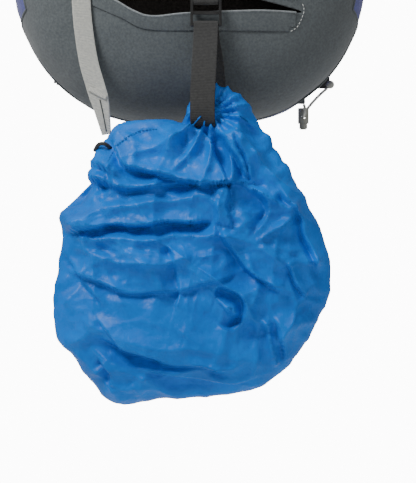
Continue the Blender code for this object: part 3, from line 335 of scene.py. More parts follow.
BAG_WIDTH = 0.376
TOP_WIDTH = 0.300
BAG_DEPTH = 0.190
BACK_Y = 0.025
MID_Y = BACK_Y - BAG_DEPTH / 2
WIDEST_UP = 0.200
PANEL_WALL = 0.0024
SIDE_SEAM_Y = MID_Y - 0.025
LOW_SEAM_Y = MID_Y + 0.008
BACK_SEAM_Y = BACK_Y - 0.022
CAP_Z = BAG_TOP - 0.035
BASE_SIDE_Z = BAG_BASE + 0.080
FLAP_HINGE_Z = BAG_BASE + 0.180
SEAM_GAP = 0.0006
SEAM_LIFT = 0.0002
SEAM_LAP = 0.0014
BEAD_RADIUS = 0.0011
FRONT_POWER = 2.6
BACK_POWER = 8.0


def rounding(share):
    """A superellipse corner of power 2.5: 0 at share 0 and 1 from share 1 on."""
    return (1 - (1 - np.clip(share, 0, 1)) ** 2.5) ** 0.4


def bag_section(z, grow=0.0):
    """Half width, front depth and back depth at height z: each is its full size times the roundings
    of base and top, and the width tapers above the widest level."""
    up = z - BAG_BASE + grow
    down = BAG_TOP + grow - z
    taper = np.clip((z - BAG_BASE - WIDEST_UP) / (BAG_HEIGHT - WIDEST_UP), 0, 1)
    half = BAG_WIDTH / 2 + grow - taper * (BAG_WIDTH - TOP_WIDTH) / 2
    deep = BAG_DEPTH / 2 + grow
    width = half * rounding(up / WIDEST_UP) * rounding(down / 0.110)
    front = deep * rounding(up / 0.120) * rounding(down / 0.100)
    back = deep * rounding(up / 0.050) * rounding(down / 0.040)
    return width, front, back


def bag_point(z, turn, grow=0.0):
    """The bag's surface: x and y follow a superellipse of the turn, flatter behind than in front."""
    width, front, back = bag_section(z, grow)
    c, s = np.cos(turn), np.sin(turn)
    power = np.where(s >= 0, BACK_POWER, FRONT_POWER)
    x = width * np.sign(c) * np.abs(c) ** (2 / power)
    y = MID_Y + np.where(s >= 0, back, front) * np.sign(s) * np.abs(s) ** (2 / power)
    return np.stack(np.broadcast_arrays(x, y, z), axis=-1)


def front_y(x, z, grow=0.0):
    """The y of the front at x and z."""
    width, front, _ = bag_section(np.asarray(z, dtype=float), grow)
    share = np.clip(np.abs(x) / np.maximum(width, 1e-6), 0, 1)
    return MID_Y - front * (1 - share**FRONT_POWER) ** (1 / FRONT_POWER)


def seam_turn(z, y):
    """The turn at which the right side of the bag has this y at height z."""
    _, front, back = bag_section(z)
    ahead = np.clip((MID_Y - y) / np.maximum(front, 1e-6), 0, 1) ** (FRONT_POWER / 2)
    behind = np.clip((y - MID_Y) / np.maximum(back, 1e-6), 0, 1) ** (BACK_POWER / 2)
    return np.where(y < MID_Y, -np.arcsin(ahead), np.arcsin(behind))


def pulls(points):
    """Slight pulls in the cloth in metres: a few slanted waves of 40 to 90 mm that die out over the
    last 20 mm towards the poles of base and top."""
    x, y, z = points[..., 0], points[..., 1], points[..., 2]
    waves = np.sin(70 * x + 45 * z + 2.0 * np.sin(30 * z))
    waves += 0.7 * np.sin(-95 * x + 60 * z + 25 * y + 1.3)
    waves += 0.5 * np.sin(150 * z + 40 * x * np.sin(20 * z))
    ends = np.clip((z - BAG_BASE) / 0.020, 0, 1) * np.clip((BAG_TOP - z) / 0.020, 0, 1)
    return 0.00035 * waves * ends


def panel_sheet(name, levels, start, end, columns):
    """A panel between two turns at each level, with columns evenly spread along the level's arc."""
    fine = np.linspace(0, 1, 700)
    turns = start[:, None] + (end - start)[:, None] * fine
    arc = bag_point(levels[:, None], turns)
    run = np.cumsum(np.linalg.norm(np.diff(arc, axis=1, prepend=arc[:, :1]), axis=2), axis=1)
    even = np.linspace(0, 1, columns)
    rows = [np.interp(even * r[-1], r, t) for r, t in zip(run, turns)]
    turns = np.stack(rows)
    flat = bag_point(levels[:, None], turns)
    points = bag_point(levels[:, None], turns, pulls(flat))
    return grid_mesh(name, points)


def turn_away(piece, middle):
    """Turns the faces of a sheet away from a point."""
    mesh = piece.data
    normals = np.zeros(len(mesh.polygons) * 3)
    centres = np.zeros(len(mesh.polygons) * 3)
    mesh.polygons.foreach_get("normal", normals)
    mesh.polygons.foreach_get("center", centres)
    if (normals.reshape(-1, 3) * (centres.reshape(-1, 3) - middle)).sum() < 0:
        mesh.flip_normals()


def settle(piece):
    """Makes the evaluated mesh, with all its modifiers, the piece's own mesh."""
    graph = bpy.context.evaluated_depsgraph_get()
    mesh = bpy.data.meshes.new_from_object(piece.evaluated_get(graph))
    piece.modifiers.clear()
    piece.data = mesh


def thicken(piece, wall=PANEL_WALL):
    """Gives an open sheet its thickness, inwards."""
    weld(piece)
    turn_away(piece, (0, MID_Y, (BAG_TOP + BAG_BASE) / 2))
    solid = piece.modifiers.new("wall", "SOLIDIFY")
    solid.thickness = wall
    solid.offset = -1
    settle(piece)


def prism(outline, low, high):
    """A closed prism over an (x, z) outline between two y values."""
    x, z = np.asarray(outline).T
    rings = np.stack([np.stack([x, np.full_like(x, y), z], axis=1) for y in (low, high)])
    middle = rings.mean(axis=1, keepdims=True) + 0 * rings
    points = np.concatenate([middle[:1], rings, middle[1:]])
    return close_up(grid_mesh("cutter", points, closed=True))


def cut(piece, outline, keep_inside=False):
    """Cuts an (x, z) outline out of the bag's front, or keeps only what is inside it."""
    cutter = prism(outline, -0.4, MID_Y - 0.01)
    boolean = piece.modifiers.new("cut", "BOOLEAN")
    boolean.operation = "INTERSECT" if keep_inside else "DIFFERENCE"
    boolean.object = cutter
    settle(piece)
    bpy.data.objects.remove(cutter)


def cloth_material(name, dark, light, thread, roughness, bump=0.35, sheen=0.2):
    """Woven cloth on Object coordinates: threads as two crossed waves, over a soft change of tone."""
    made, tree, shader = start_material(name, light, roughness, Sheen_Weight=sheen, Sheen_Roughness=0.6)
    place = add_node(tree, "ShaderNodeTexCoord").outputs["Object"]
    uneven_colour(tree, shader, place, dark, light, 420, 6.0)
    heights = []
    for direction in ("X", "Z"):
        wave = add_node(
            tree,
            "ShaderNodeTexWave",
            {"bands_direction": direction, "Scale": wave_scale(thread), "Distortion": 0.6, "Detail": 1.0},
            {"Vector": place},
        )
        heights.append(wave.outputs["Fac"])
    both = add_node(tree, "ShaderNodeMath", {"operation": "MULTIPLY"}, {0: heights[0], 1: heights[1]})
    normal = add_node(
        tree, "ShaderNodeBump", {"Strength": bump, "Distance": 0.0005}, {"Height": both.outputs[0]}
    )
    creases = add_node(
        tree, "ShaderNodeTexNoise", {"Scale": 38.0, "Detail": 4.0, "Distortion": 0.6}, {"Vector": place}
    )
    soft = add_node(
        tree,
        "ShaderNodeBump",
        {"Strength": 0.30, "Distance": 0.004},
        {"Height": creases.outputs["Fac"], "Normal": normal.outputs["Normal"]},
    )
    tree.links.new(soft.outputs["Normal"], shader.inputs["Normal"])
    return made


# Bonded polyester softshell: heathered charcoal yarn, matt. Threads are drawn at 1.3 mm, twice
# their real pitch, so that they show.
charcoal = cloth_material("heathered_charcoal_softshell", "#454B4E", "#545B5D", 0.0013, 0.88)
# Ripstop nylon in purple, matt with a faint grid.
purple = cloth_material("purple_ripstop_nylon", "#343A7A", "#454A94", 0.0022, 0.62)
# Plain woven polyester lining, dark and slightly brown.
lining = cloth_material("plain_dark_lining", "#37322F", "#4A4541", 0.0012, 0.85)
# Knitted spacer mesh: black, very matt, with open cells drawn at 3 mm.
spacer = cloth_material("knitted_spacer_mesh", "#17191B", "#2B2E31", 0.0030, 0.95, bump=0.9)


def levels_between(low, high, count, crowd_low=False):
    """Levels between two heights; crowd_low packs them towards the rounded base."""
    share = np.linspace(0, 1, count)
    if crowd_low:
        share = share**2.2
    return low + (high - low) * share


def sew_panel(name, node, levels, start, end, columns, cloth, slot, hole=None):
    """A bag panel between two turns in place of its CAD node, with its hole cut out if it has one."""
    piece = panel_sheet(name, levels, start, end, columns)
    thicken(piece)
    if hole is not None:
        cut(piece, hole)
    stand_in(piece, cloth, slot, "pack", node)


# The pocket's mouth, as x and height above the base: its lower lip sags under the cover's pull
MOUTH_LOW = [
    (-0.100, 0.1280), (-0.075, 0.1195), (-0.056, 0.1085), (-0.037, 0.1025), (0.001, 0.1055),
    (0.071, 0.1085), (0.108, 0.1078),
]
MOUTH_HIGH = [
    (0.113, 0.1092), (0.105, 0.1120), (0.069, 0.1205), (0.030, 0.1275), (-0.020, 0.1310),
    (-0.070, 0.1325), (-0.097, 0.1310),
]
mouth = smooth(MOUTH_LOW + MOUTH_HIGH, 6, closed=True) + (0, BAG_BASE)

low_levels = levels_between(BAG_BASE, FLAP_HINGE_Z - 0.0012, 130, crowd_low=True)


def seam_line(levels):
    """The y of the seam between front and side: behind the middle at the base, it steps forward at
    the pocket's level and comes back to its straight run above the flap's fold."""
    ups = (0.090, 0.099, 0.115, 0.200, 0.300)
    steps = (LOW_SEAM_Y, MID_Y - 0.006, MID_Y - 0.047, MID_Y - 0.047, SIDE_SEAM_Y)
    return np.interp(levels - BAG_BASE, ups, steps)


low_turn = seam_turn(low_levels, seam_line(low_levels) - SEAM_GAP)
sew_panel(
    "lower_front_cloth", "lower_front_panel", low_levels, -math.pi - low_turn, low_turn, 240,
    charcoal, "charcoal_softshell", mouth,
)


def flap_outline(grow):
    """The flap's outline: straight sides and fold line, with quarter circles at the top corners."""
    half, radius = 0.118 + grow, 0.060 + grow
    top, low = BAG_TOP - 0.065 + grow, FLAP_HINGE_Z - grow
    t = np.linspace(0, math.pi / 2, 17)
    right = np.stack([half - radius + radius * np.cos(t), top - radius + radius * np.sin(t)], axis=1)
    left = right[::-1] * (-1, 1)
    return np.concatenate([[(-half, low), (half, low)], right, left])


yoke_levels = levels_between(FLAP_HINGE_Z, CAP_Z - SEAM_GAP, 110)
yoke_turn = seam_turn(yoke_levels, seam_line(yoke_levels) - SEAM_GAP)
sew_panel(
    "front_yoke_cloth", "front_yoke", yoke_levels, -math.pi - yoke_turn, yoke_turn, 220,
    charcoal, "charcoal_softshell", flap_outline(0.0013),
)

flap_levels = levels_between(FLAP_HINGE_Z - 0.004, CAP_Z, 110)
flap_turn = seam_turn(flap_levels, np.full_like(flap_levels, SIDE_SEAM_Y))
flap = panel_sheet("front_flap_cloth", flap_levels, -math.pi - flap_turn, flap_turn, 220)
thicken(flap, 0.0058)
cut(flap, flap_outline(-0.0002), keep_inside=True)
stand_in(flap, charcoal, "charcoal_softshell", "flap", "front_flap")

side_levels = levels_between(BASE_SIDE_Z + 0.0008, CAP_Z - SEAM_GAP, 110)
side_front = seam_turn(side_levels, seam_line(side_levels) + SEAM_GAP)
side_back = seam_turn(side_levels, np.full_like(side_levels, BACK_SEAM_Y - 0.0002))
for word, start, end in (
    ("right", side_front, side_back),
    ("left", math.pi - side_front, math.pi - side_back),
):
    sew_panel(
        "side_cloth_" + word, "side_panel_" + word, side_levels, start, end, 60,
        purple, "purple_ripstop",
    )

back_levels = levels_between(BASE_SIDE_Z + 0.0008, CAP_Z - SEAM_GAP, 90)
back_turn = seam_turn(back_levels, np.full_like(back_levels, BACK_SEAM_Y + SEAM_LAP))
sew_panel(
    "back_cloth", "back_panel", back_levels, back_turn, math.pi - back_turn, 140,
    charcoal, "charcoal_softshell",
)

base_levels = levels_between(BAG_BASE, BASE_SIDE_Z - 0.0004, 70, crowd_low=True)
base_turn = seam_turn(base_levels, np.full_like(base_levels, LOW_SEAM_Y + SEAM_LAP))
sew_panel(
    "base_cloth", "base_panel", base_levels, base_turn, math.pi - base_turn, 160,
    purple, "purple_ripstop",
)

cap_share = np.linspace(0, 1, 60)
cap_levels = BAG_TOP - (BAG_TOP - CAP_Z - SEAM_LAP) * cap_share**2.2
sew_panel(
    "top_cloth", "top_panel", cap_levels, np.zeros(60), np.full(60, math.tau), 200,
    charcoal, "charcoal_softshell",
)

# ------------------------------------------------------------------ seams and stitches
# Narrow folded binding covers each seam, and lock stitches 3 mm long in pale thread follow the
# pocket's facing. Both are sewn through the panels.


def seam_tube(name, path, radius, material, body="pack", closed=False):
    """A folded binding, rolled into a thin round bead. Its side is skewed: no seam runs along it."""
    made = swept(name, path, (0.21, 0.37, 0.9), round_section(radius, 8), closed=closed)
    stand_in(made, material, "charcoal_softshell", body)


for word, flip in (("right", False), ("left", True)):
    turns = low_turn[6:]
    low_path = bag_point(low_levels[6:], math.pi - turns if flip else turns, SEAM_LIFT)
    seam_tube("low_seam_" + word, low_path[::2], BEAD_RADIUS, charcoal)
    turns = math.pi - yoke_turn if flip else yoke_turn
    seam_tube("yoke_seam_" + word, bag_point(yoke_levels, turns, SEAM_LIFT)[::3], BEAD_RADIUS, charcoal)
    turns = math.pi - side_back if flip else side_back
    seam_tube("back_seam_" + word, bag_point(side_levels, turns, SEAM_LIFT)[::3], BEAD_RADIUS, charcoal)
ring_turns = np.linspace(0, math.tau, 160, endpoint=False)
seam_tube("cap_seam", bag_point(np.full(160, CAP_Z), ring_turns, SEAM_LIFT), 0.0012, charcoal, closed=True)


FORWARD = np.array([0.0, -1.0, 0.0])


def stitch_row(name, path, length, gap, radius, material, body, slot):
    """A row of stitches along a path: each is a short rod whose ends dive into the cloth."""
    steps = np.linalg.norm(np.diff(path, axis=0), axis=1)
    run = np.concatenate([[0], np.cumsum(steps)])
    starts = np.arange(gap, run[-1] - length, length + gap)
    share = np.linspace(0, 1, 5)
    at = starts[:, None] + length * share
    points = np.stack([np.interp(at, run, path[:, k]) for k in range(3)], axis=-1)
    points = points + FORWARD * (radius * 1.2 * np.sin(math.pi * share) - 0.3 * radius)[None, :, None]
    along = np.gradient(points, axis=1)
    along /= np.linalg.norm(along, axis=-1, keepdims=True)
    over = np.cross(along, FORWARD)
    t = np.arange(6) * math.tau / 6
    thick = radius * np.array([0.55, 1, 1, 1, 0.55])
    ring = over[:, :, None] * np.cos(t)[:, None] + FORWARD * np.sin(t)[:, None]
    rings = points[:, :, None] + ring * thick[None, :, None, None]
    count = len(starts)
    index = np.arange(count * 30).reshape(count, 5, 6)
    turned = np.roll(index, -1, axis=2)
    quads = np.stack([index[:, :-1], turned[:, :-1], turned[:, 1:], index[:, 1:]], axis=-1).reshape(-1, 4)
    mesh = bpy.data.meshes.new(name)
    caps = np.concatenate([index[:, 0, ::-1], index[:, -1]])
    mesh.from_pydata(rings.reshape(-1, 3).tolist(), [], quads.tolist() + caps.tolist())
    mesh.polygons.foreach_set("use_smooth", np.ones(len(mesh.polygons), dtype=bool))
    mesh.update()
    made = bpy.data.objects.new(name, mesh)
    bpy.context.scene.collection.objects.link(made)
    face_outwards(made)
    stand_in(made, material, slot, body)


def thread_material(name, colour, dark, light, roughness):
    """Spun polyester thread, uneven in tone from its twist."""
    made, tree, shader = start_material(name, colour, roughness)
    place = add_node(tree, "ShaderNodeTexCoord").outputs["Object"]
    uneven_colour(tree, shader, place, dark, light, 900)
    return made


# Spun polyester thread: pale grey with a little gloss, and the same in charcoal
thread = thread_material("pale_polyester_thread", "#C9CBC6", "#B4B6B2", "#D8DAD6", 0.5)
dark_thread = thread_material("charcoal_polyester_thread", "#33383A", "#262A2C", "#3E4446", 0.6)


def on_front(line, grow):
    """(x, height above base) points laid on the bag's front."""
    x, up = np.asarray(line).T
    return np.stack([x, front_y(x, BAG_BASE + up, grow), BAG_BASE + up], axis=1)


facing_low = smooth(
    [(-0.097, 0.1145), (-0.068, 0.1015), (-0.039, 0.0895), (0.03, 0.0885), (0.101, 0.0885)], 12
)
facing_end = smooth(
    [(0.101, 0.0885), (0.1085, 0.0935), (0.1135, 0.103), (0.1155, 0.1115), (0.113, 0.119)], 8
)
upper_row = smooth([(-0.104, 0.1345), (-0.06, 0.1365), (0.0, 0.1355), (0.06, 0.1275), (0.113, 0.119)], 10)
for name, line, length, gap, radius, colour, slot in (
    ("facing_stitches", facing_low, 0.0028, 0.0010, 0.00035, dark_thread, "charcoal_softshell"),
    ("reflective_end_stitches", facing_end, 0.0026, 0.0012, 0.00045, thread, "grey_webbing"),
    ("mouth_upper_stitches", upper_row, 0.0028, 0.0010, 0.00035, dark_thread, "charcoal_softshell"),
):
    stitch_row(name, on_front(line, 0.0006), length, gap, radius, colour, "pack", slot)

# ------------------------------------------------------------------ pocket facing
# A folded strip of the same charcoal cloth along the mouth's lower lip. Its top edge rolls over a
# piping cord and sags away from the pocket in the middle.

lip_x = np.linspace(-0.099, 0.1075, 130)
lip_line = smooth(MOUTH_LOW, 10)
lip_top = np.interp(lip_x, lip_line[:, 0], lip_line[:, 1])
lip_low = np.interp(lip_x, facing_low[:, 0], facing_low[:, 1], right=0.0935)
lip_share = np.linspace(0, 1, 16)[:, None]
lip_up = lip_low + (lip_top - lip_low) * lip_share
lip_sag = np.sin(np.clip((lip_x + 0.099) / 0.2065, 0, 1) * math.pi) ** 0.7
lip_out = 0.0012 + 0.0035 * lip_share**2 * lip_sag + 0.0012 * np.sin(math.pi * lip_share) * lip_sag
lip_wave = 0.0006 * np.sin(lip_x * 160 + 3 * lip_share) * lip_share
lip_y = front_y(lip_x, BAG_BASE + lip_up) - lip_out - lip_wave
lip_points = np.stack(np.broadcast_arrays(lip_x, lip_y, BAG_BASE + lip_up), axis=2)
facing = grid_mesh("pocket_facing", lip_points)
thicken(facing, 0.0011)
stand_in(facing, charcoal, "charcoal_softshell", "pack", "pocket_band")
# Bound edge in a paler tape, rolled over the lip's piping.
edge_tape = cloth_material("pale_bound_edge_tape", "#6F7577", "#8A9092", 0.0011, 0.6)
seam_tube("lip_binding", lip_points[-1] + (0, 0.0004, 0.0002), 0.0010, edge_tape)

# ------------------------------------------------------------------ straps of flat webbing
# Woven polyester webbing, 15 to 25 mm wide and 1.5 mm thick, cut hot and folded back where it is
# sewn. Every strap follows the same route as its solid in the frame.


def strap_section(width, thick, sides=20):
    """Flat webbing with soft edges: a superellipse of power 8 across and about 3.3 through it."""
    t = (np.arange(sides) + 0.5) * math.tau / sides
    c, s = np.cos(t), np.sin(t)
    u = width / 2 * np.sign(c) * np.abs(c) ** 0.25
    v = thick / 2 * np.sign(s) * np.abs(s) ** 0.6
    return np.stack([u, v], axis=1)


WEBBING = {"black": black_webbing, "grey": grey_webbing}
HARNESS_WEB = (0.0198, 0.0014)


def strap(name, path, side, width, thick, body, node, colour="black", closed=False):
    """A length of black or grey webbing in place of its CAD node."""
    made = swept(name, path, side, strap_section(width, thick), closed=closed)
    stand_in(made, WEBBING[colour], colour + "_webbing", body, node)


rise = 0.0015
foot = BAG_TOP - 0.0055
haul_points = [
    (-0.060, foot + 0.0018),
    (-0.049, foot + 0.0042),
    (-0.040, foot + 0.016),
    (-0.026, rise - 0.008),
    (-0.012, rise),
    (0.012, rise),
    (0.026, rise - 0.008),
    (0.040, foot + 0.016),
    (0.049, foot + 0.0042),
    (0.060, foot + 0.0018),
]
haul_path = smooth([(x, 0, z) for x, z in haul_points], 8)
strap("haul_webbing", haul_path, (0, 1, 0), 0.0196, 0.0029, "pack", "haul_loop")

PAD_FACE_Y = BACK_Y + 0.0003
yoke_end = np.array([0.0775, PAD_FACE_Y + 0.0011, BAG_TOP - 0.049])
yoke_path = np.linspace(yoke_end * (-1, 1, 1), yoke_end, 24)
strap("strap_yoke_webbing", yoke_path, (0, 0, 1), 0.0178, 0.0018, "pack", "strap_yoke")

# Each side of the harness repeats the other
ANCHOR = np.array([0.139, 0.0345, BAG_BASE + 0.110])
STRAP_ROUTE = np.array(
    [
        (0.052, 0.0420, 0.050), (0.055, 0.0560, 0.066), (0.062, 0.0800, 0.110), (0.078, 0.1000, 0.180),
        (0.094, 0.0980, 0.250), (0.106, 0.0790, 0.310), (0.112, 0.0620, 0.350),
    ]
)
STRAP_SHARE = np.array([0.36, 0.62, 1.0, 1.0, 0.95, 0.80, 0.50])

# ------------------------------------------------------------------ padded harness
# Shoulder straps, back pads, lumbar pad and hip wings: die-cut foam between knitted mesh, bound at
# the edge with tape. The mesh crowns between its seams.


def pad_section(share, width, thick, sides=28):
    """A cushion's profile: a superellipse of power 3.2 whose two faces dip along their middle."""
    t = (np.arange(sides) + 0.5) * math.tau / sides
    c, s = np.cos(t), np.sin(t)
    u = width / 2 * share[:, None] * np.sign(c) * np.abs(c) ** 0.62
    tall = thick / 2 * (0.45 + 0.55 * share[:, None])
    v = tall * np.sign(s) * np.abs(s) ** 0.62
    dip = 0.0012 * np.exp(-((u / 0.004) ** 2)) * np.sign(s)
    return np.stack([u, v - dip], axis=2)


def pad_block(name, low, high, crown, rows=40, columns=56, channels=0):
    """A crowned pad between two corners: a superellipsoid of the box, its outer face raised by crown
    and pressed in along evenly spaced sewn channels."""
    low, high = np.array(low), np.array(high)
    middle, half = (low + high) / 2, (high - low) / 2
    lat = np.linspace(-math.pi / 2, math.pi / 2, rows)[:, None]
    lon = np.linspace(0, math.tau, columns, endpoint=False)[None, :]

    def power(wave, p):
        return np.sign(wave) * np.abs(wave) ** p

    x = power(np.cos(lat), 0.30) * power(np.cos(lon), 0.22)
    z = power(np.cos(lat), 0.30) * power(np.sin(lon), 0.22)
    y = power(np.sin(lat), 0.55) + 0 * lon
    inside = (1 - np.abs(x) ** 4) * (1 - np.abs(z) ** 4)
    lift = crown * inside * (y > 0) * np.sin(np.clip(y, 0, 1) * math.pi / 2)
    if channels:
        groove = np.abs(np.sin(math.pi * channels * (z + 1) / 2)) ** 0.35
        lift = lift - 0.0022 * (1 - groove) * (y > 0.3) * inside**0.3
    points = middle + half * np.stack([x, y, z], axis=2)
    points[..., 1] += lift
    made = grid_mesh(name, points, closed=True)
    return close_up(made)


def harness_piece(piece, node, body):
    """Puts a padded piece in place of its CAD node."""
    stand_in(piece, spacer, "black_spacer_mesh", body, node)


LUMBAR_OUT = PAD_FACE_Y + 0.0104 + 0.012
lumbar_low = (-0.112, PAD_FACE_Y + 0.0106, BAG_BASE + 0.062 - 0.0372)
lumbar_high = (0.112, LUMBAR_OUT, BAG_BASE + 0.062 + 0.0372)
lumbar = pad_block("lumbar_cushion", lumbar_low, lumbar_high, 0.003, 44, 120, channels=3)
harness_piece(lumbar, "lumbar_pad", "pack")

for word, side in (("left", -1), ("right", 1)):
    near, far = sorted((side * 0.016, side * 0.088))
    pad_low = (near, PAD_FACE_Y, BAG_BASE + 0.130)
    pad_high = (far, PAD_FACE_Y + 0.012, BAG_TOP - 0.095)
    back_pad = pad_block("back_cushion_" + word, pad_low, pad_high, 0.002, 44, 150, channels=5)
    harness_piece(back_pad, "back_pad_" + word, "pack")

    near, far = sorted((side * 0.002, side * 0.107))
    wing_low = (near, PAD_FACE_Y + 0.0012, BAG_BASE + 0.036)
    wing_high = (far, PAD_FACE_Y + 0.0092, BAG_BASE + 0.088)
    wing = pad_block("hip_wing_cushion_" + word, wing_low, wing_high, 0.0, 32, 90)
    harness_piece(wing, "hip_wing_" + word, "hip_" + word)
    wing_mid = PAD_FACE_Y + 0.0052
    hip_ends = [(side * x, wing_mid, BAG_BASE + 0.062) for x in (0.1076, 0.1230)]
    hip_path = np.linspace(*hip_ends, 8)
    strap("hip_strap_" + word, hip_path, (0, 0, 1), *HARNESS_WEB, "hip_" + word, "hip_webbing_" + word)

    route = STRAP_ROUTE * (side, 1, -1) + (0, 0, BAG_TOP)
    path = smooth(route, 10)
    share = smooth(STRAP_SHARE[:, None], 10)[:, 0]
    body = "strap_" + word
    shoulder = swept("shoulder_cushion_" + word, path, (side, 0, 0), pad_section(share, 0.060, 0.013))
    harness_piece(shoulder, "shoulder_pad_" + word, body)

    anchor = ANCHOR * (side, 1, 1)
    run = (anchor - route[-1]) / np.linalg.norm(anchor - route[-1])
    first = route[-1] + run * 0.0250
    web_points = [
        first,
        first + (anchor - first) * 0.35 + (0, 0.003, 0),
        first + (anchor - first) * 0.7,
        anchor,
    ]
    strap(
        "shoulder_strap_tail_" + word, smooth(web_points, 8), (side, 0, 0), *HARNESS_WEB,
        body, "shoulder_webbing_" + word,
    )
    tab_path = np.linspace(anchor + (0, -0.0105, 0.006), anchor + (0, -0.0065, -0.012), 10)
    tab_path[:, 1] = anchor[1] - 0.0072
    strap("lower_anchor_tab_" + word, tab_path, (1, 0, 0), 0.0216, 0.0026, "pack", "lower_anchor_" + word)

    # The sternum strap's two halves hang from clips on the shoulder straps
    low, high = route[3], route[2]
    clip_run = (high - low) / np.linalg.norm(high - low)
    clip_out = np.cross((side, 0, 0), clip_run)
    clip_out = clip_out * np.sign(clip_out[1]) / np.linalg.norm(clip_out)
    clip = low + (high - low) * 0.30 + clip_out * (0.0065 + 0.0048)
    sternum_top = clip + (0, 0.0092, 0)
    sternum_path = np.linspace(sternum_top + (0, 0, 0.006), sternum_top - (0, 0, 0.040), 14)
    strap(
        "sternum_strap_" + word, sternum_path, (1, 0, 0), 0.0148, 0.0014,
        "sternum_" + word, "sternum_webbing_" + word,
    )

    # Compression straps lie across the side panels
    turns = np.radians(np.linspace(22, -40, 60))
    lean = (BAG_WIDTH - TOP_WIDTH) / 2 / (BAG_HEIGHT - WIDEST_UP)
    lift = 0.001 + lean * 0.010 + 0.0006
    arc = bag_point(np.full(60, BAG_TOP - 0.190), turns, lift) * (side, 1, 1)
    strap("compression_strap_" + word, arc, (0, 0, 1), *HARNESS_WEB, "pack", "side_strap_" + word, "grey")

# ------------------------------------------------------------------ ski strap
# Light grey 19 mm webbing, sewn to the panel above the pocket. It hangs free down the left side,
# half turned, and its end is folded narrow and bar-tacked for the cover's hem.

SKI_ROUTE = [
    (-0.1100, 0.0095, 0.1710), (-0.1095, 0.0055, 0.1550), (-0.1085, 0.0030, 0.1350),
    (-0.1065, 0.0020, 0.1000), (-0.1010, 0.0020, 0.0610), (-0.0940, 0.0025, 0.0350),
    (-0.0890, 0.0030, 0.0180), (-0.0850, 0.0035, -0.0010), (-0.0825, 0.0040, -0.0150),
]
ski = np.array(SKI_ROUTE)
lie = front_y(ski[:, 0] + 0.0095, BAG_BASE + ski[:, 2]) - 0.0022
plane = MID_Y - BAG_DEPTH / 2
ski_y = np.where(ski[:, 2] > 0.120, np.minimum(plane + ski[:, 1], lie), plane + ski[:, 1])
ski_path = smooth(np.stack([ski[:, 0], ski_y, BAG_BASE + ski[:, 2]], axis=1), 10)
ski_share = np.linspace(0, 1, len(ski_path))
ski_width = 1 - 0.52 * np.clip((ski_share - 0.72) / 0.28, 0, 1)
ski_thick = np.where(ski_share > 0.66, 0.0030, 0.0014)
ski_section = strap_section(0.019, 1.0)[None] * np.stack([ski_width, ski_thick], axis=1)[:, None]
ski_twist = np.radians(14) * np.sin(ski_share * math.pi * 1.5)
ski_side = np.stack([np.cos(ski_twist), np.sin(ski_twist), 0 * ski_twist], axis=1)
ski_strap = swept("ski_strap_webbing", ski_path, ski_side, ski_section)
stand_in(ski_strap, grey_webbing, "grey_webbing", "ski_strap", "ski_strap")

# The rolled hem bar across the strap, and a dark rod along its folded end: painted shade in the slit
# between the folded edges
bar_at = ski_path[int(0.68 * len(ski_path))]
bar_path = np.linspace(bar_at + (-0.0085, -0.0022, 0.0045), bar_at + (0.0088, -0.0022, -0.0050), 14)
hem_bar = swept("ski_strap_hem_bar", bar_path, (0, 0.3, 1), strap_section(0.0046, 0.0022, 14))
stand_in(hem_bar, grey_webbing, "grey_webbing", "ski_strap")
# A thin rod in the dark thread material laid along the slit: painted shade standing for the shadow in the
# gap, not a part of the strap
slit_shade_path = ski_path[int(0.74 * len(ski_path)) : int(0.97 * len(ski_path))] + (0.0004, -0.0017, 0)
slit_shade_rod = swept("ski_strap_slit_painted_shade", slit_shade_path, (1, 0, 0), round_section(0.0006, 8))
stand_in(slit_shade_rod, dark_thread, "grey_webbing", "ski_strap")

# ------------------------------------------------------------------ tether
# A short webbing loop holds a moulded ladder lock at the pocket's mouth. From its lower bar a long
# black loop of 25 mm webbing drops in front of the cover and comes back up behind its neck.

BAR_Y = plane - 0.0105
LOCK_X = 0.017
TURN_RADIUS = 0.0018 + 0.0006 + 0.0006


def bar_turn(up, start, end, steps=14):
    """Webbing turning round a bar at this height, from one angle to another."""
    t = np.radians(np.linspace(start, end, steps))
    turned = np.stack([0 * t, TURN_RADIUS * np.cos(t), TURN_RADIUS * np.sin(t)], axis=1)
    return turned + (LOCK_X, BAR_Y, BAG_BASE + up)


anchor_top = BAG_BASE + 0.138
anchor_front = float(front_y(LOCK_X, anchor_top)) - 0.0015
anchor_path = np.concatenate(
    [
        [(LOCK_X, anchor_front - 0.0030, anchor_top + 0.009), (LOCK_X, anchor_front - 0.0036, anchor_top)],
        bar_turn(0.1165, 150, 390),
        [(LOCK_X, anchor_front - 0.0015, anchor_top), (LOCK_X, anchor_front - 0.00135, anchor_top + 0.009)],
    ]
)
strap("tether_anchor_webbing", anchor_path, (1, 0, 0), 0.0243, 0.0012, "pack", "tether_anchor")

TETHER_FRONT = [
    (0.0165, -0.0080, 0.0800), (0.0150, -0.0205, 0.0500), (0.0138, -0.0275, 0.0240),
    (0.0135, -0.0300, 0.0060), (0.0140, -0.0265, -0.0065), (0.0160, -0.0130, -0.0105),
]
TETHER_BACK = [
    (0.0200, 0.0030, -0.0110), (0.0225, 0.0190, -0.0095), (0.0240, 0.0290, -0.0020),
    (0.0250, 0.0315, 0.0080), (0.0250, 0.0280, 0.0240), (0.0230, 0.0150, 0.0520),
    (0.0190, 0.0085, 0.0760),
]
tether_run = smooth(np.array(TETHER_FRONT + TETHER_BACK) + (0, BAR_Y, BAG_BASE), 8)
tether_path = np.concatenate([bar_turn(0.0935, 0, 180), tether_run])
strap(
    "tether_loop_webbing", tether_path, (1, 0, 0), 0.0243, 0.0013,
    "cover", "tether_webbing", closed=True,
)

# ------------------------------------------------------------------ rain cover
# One limp sheet of thin blue coated nylon, cut round and gathered into an elasticated mouth. It
# hangs crumpled from the tether, with its mouth turned to the pack and its slack in deep folds.

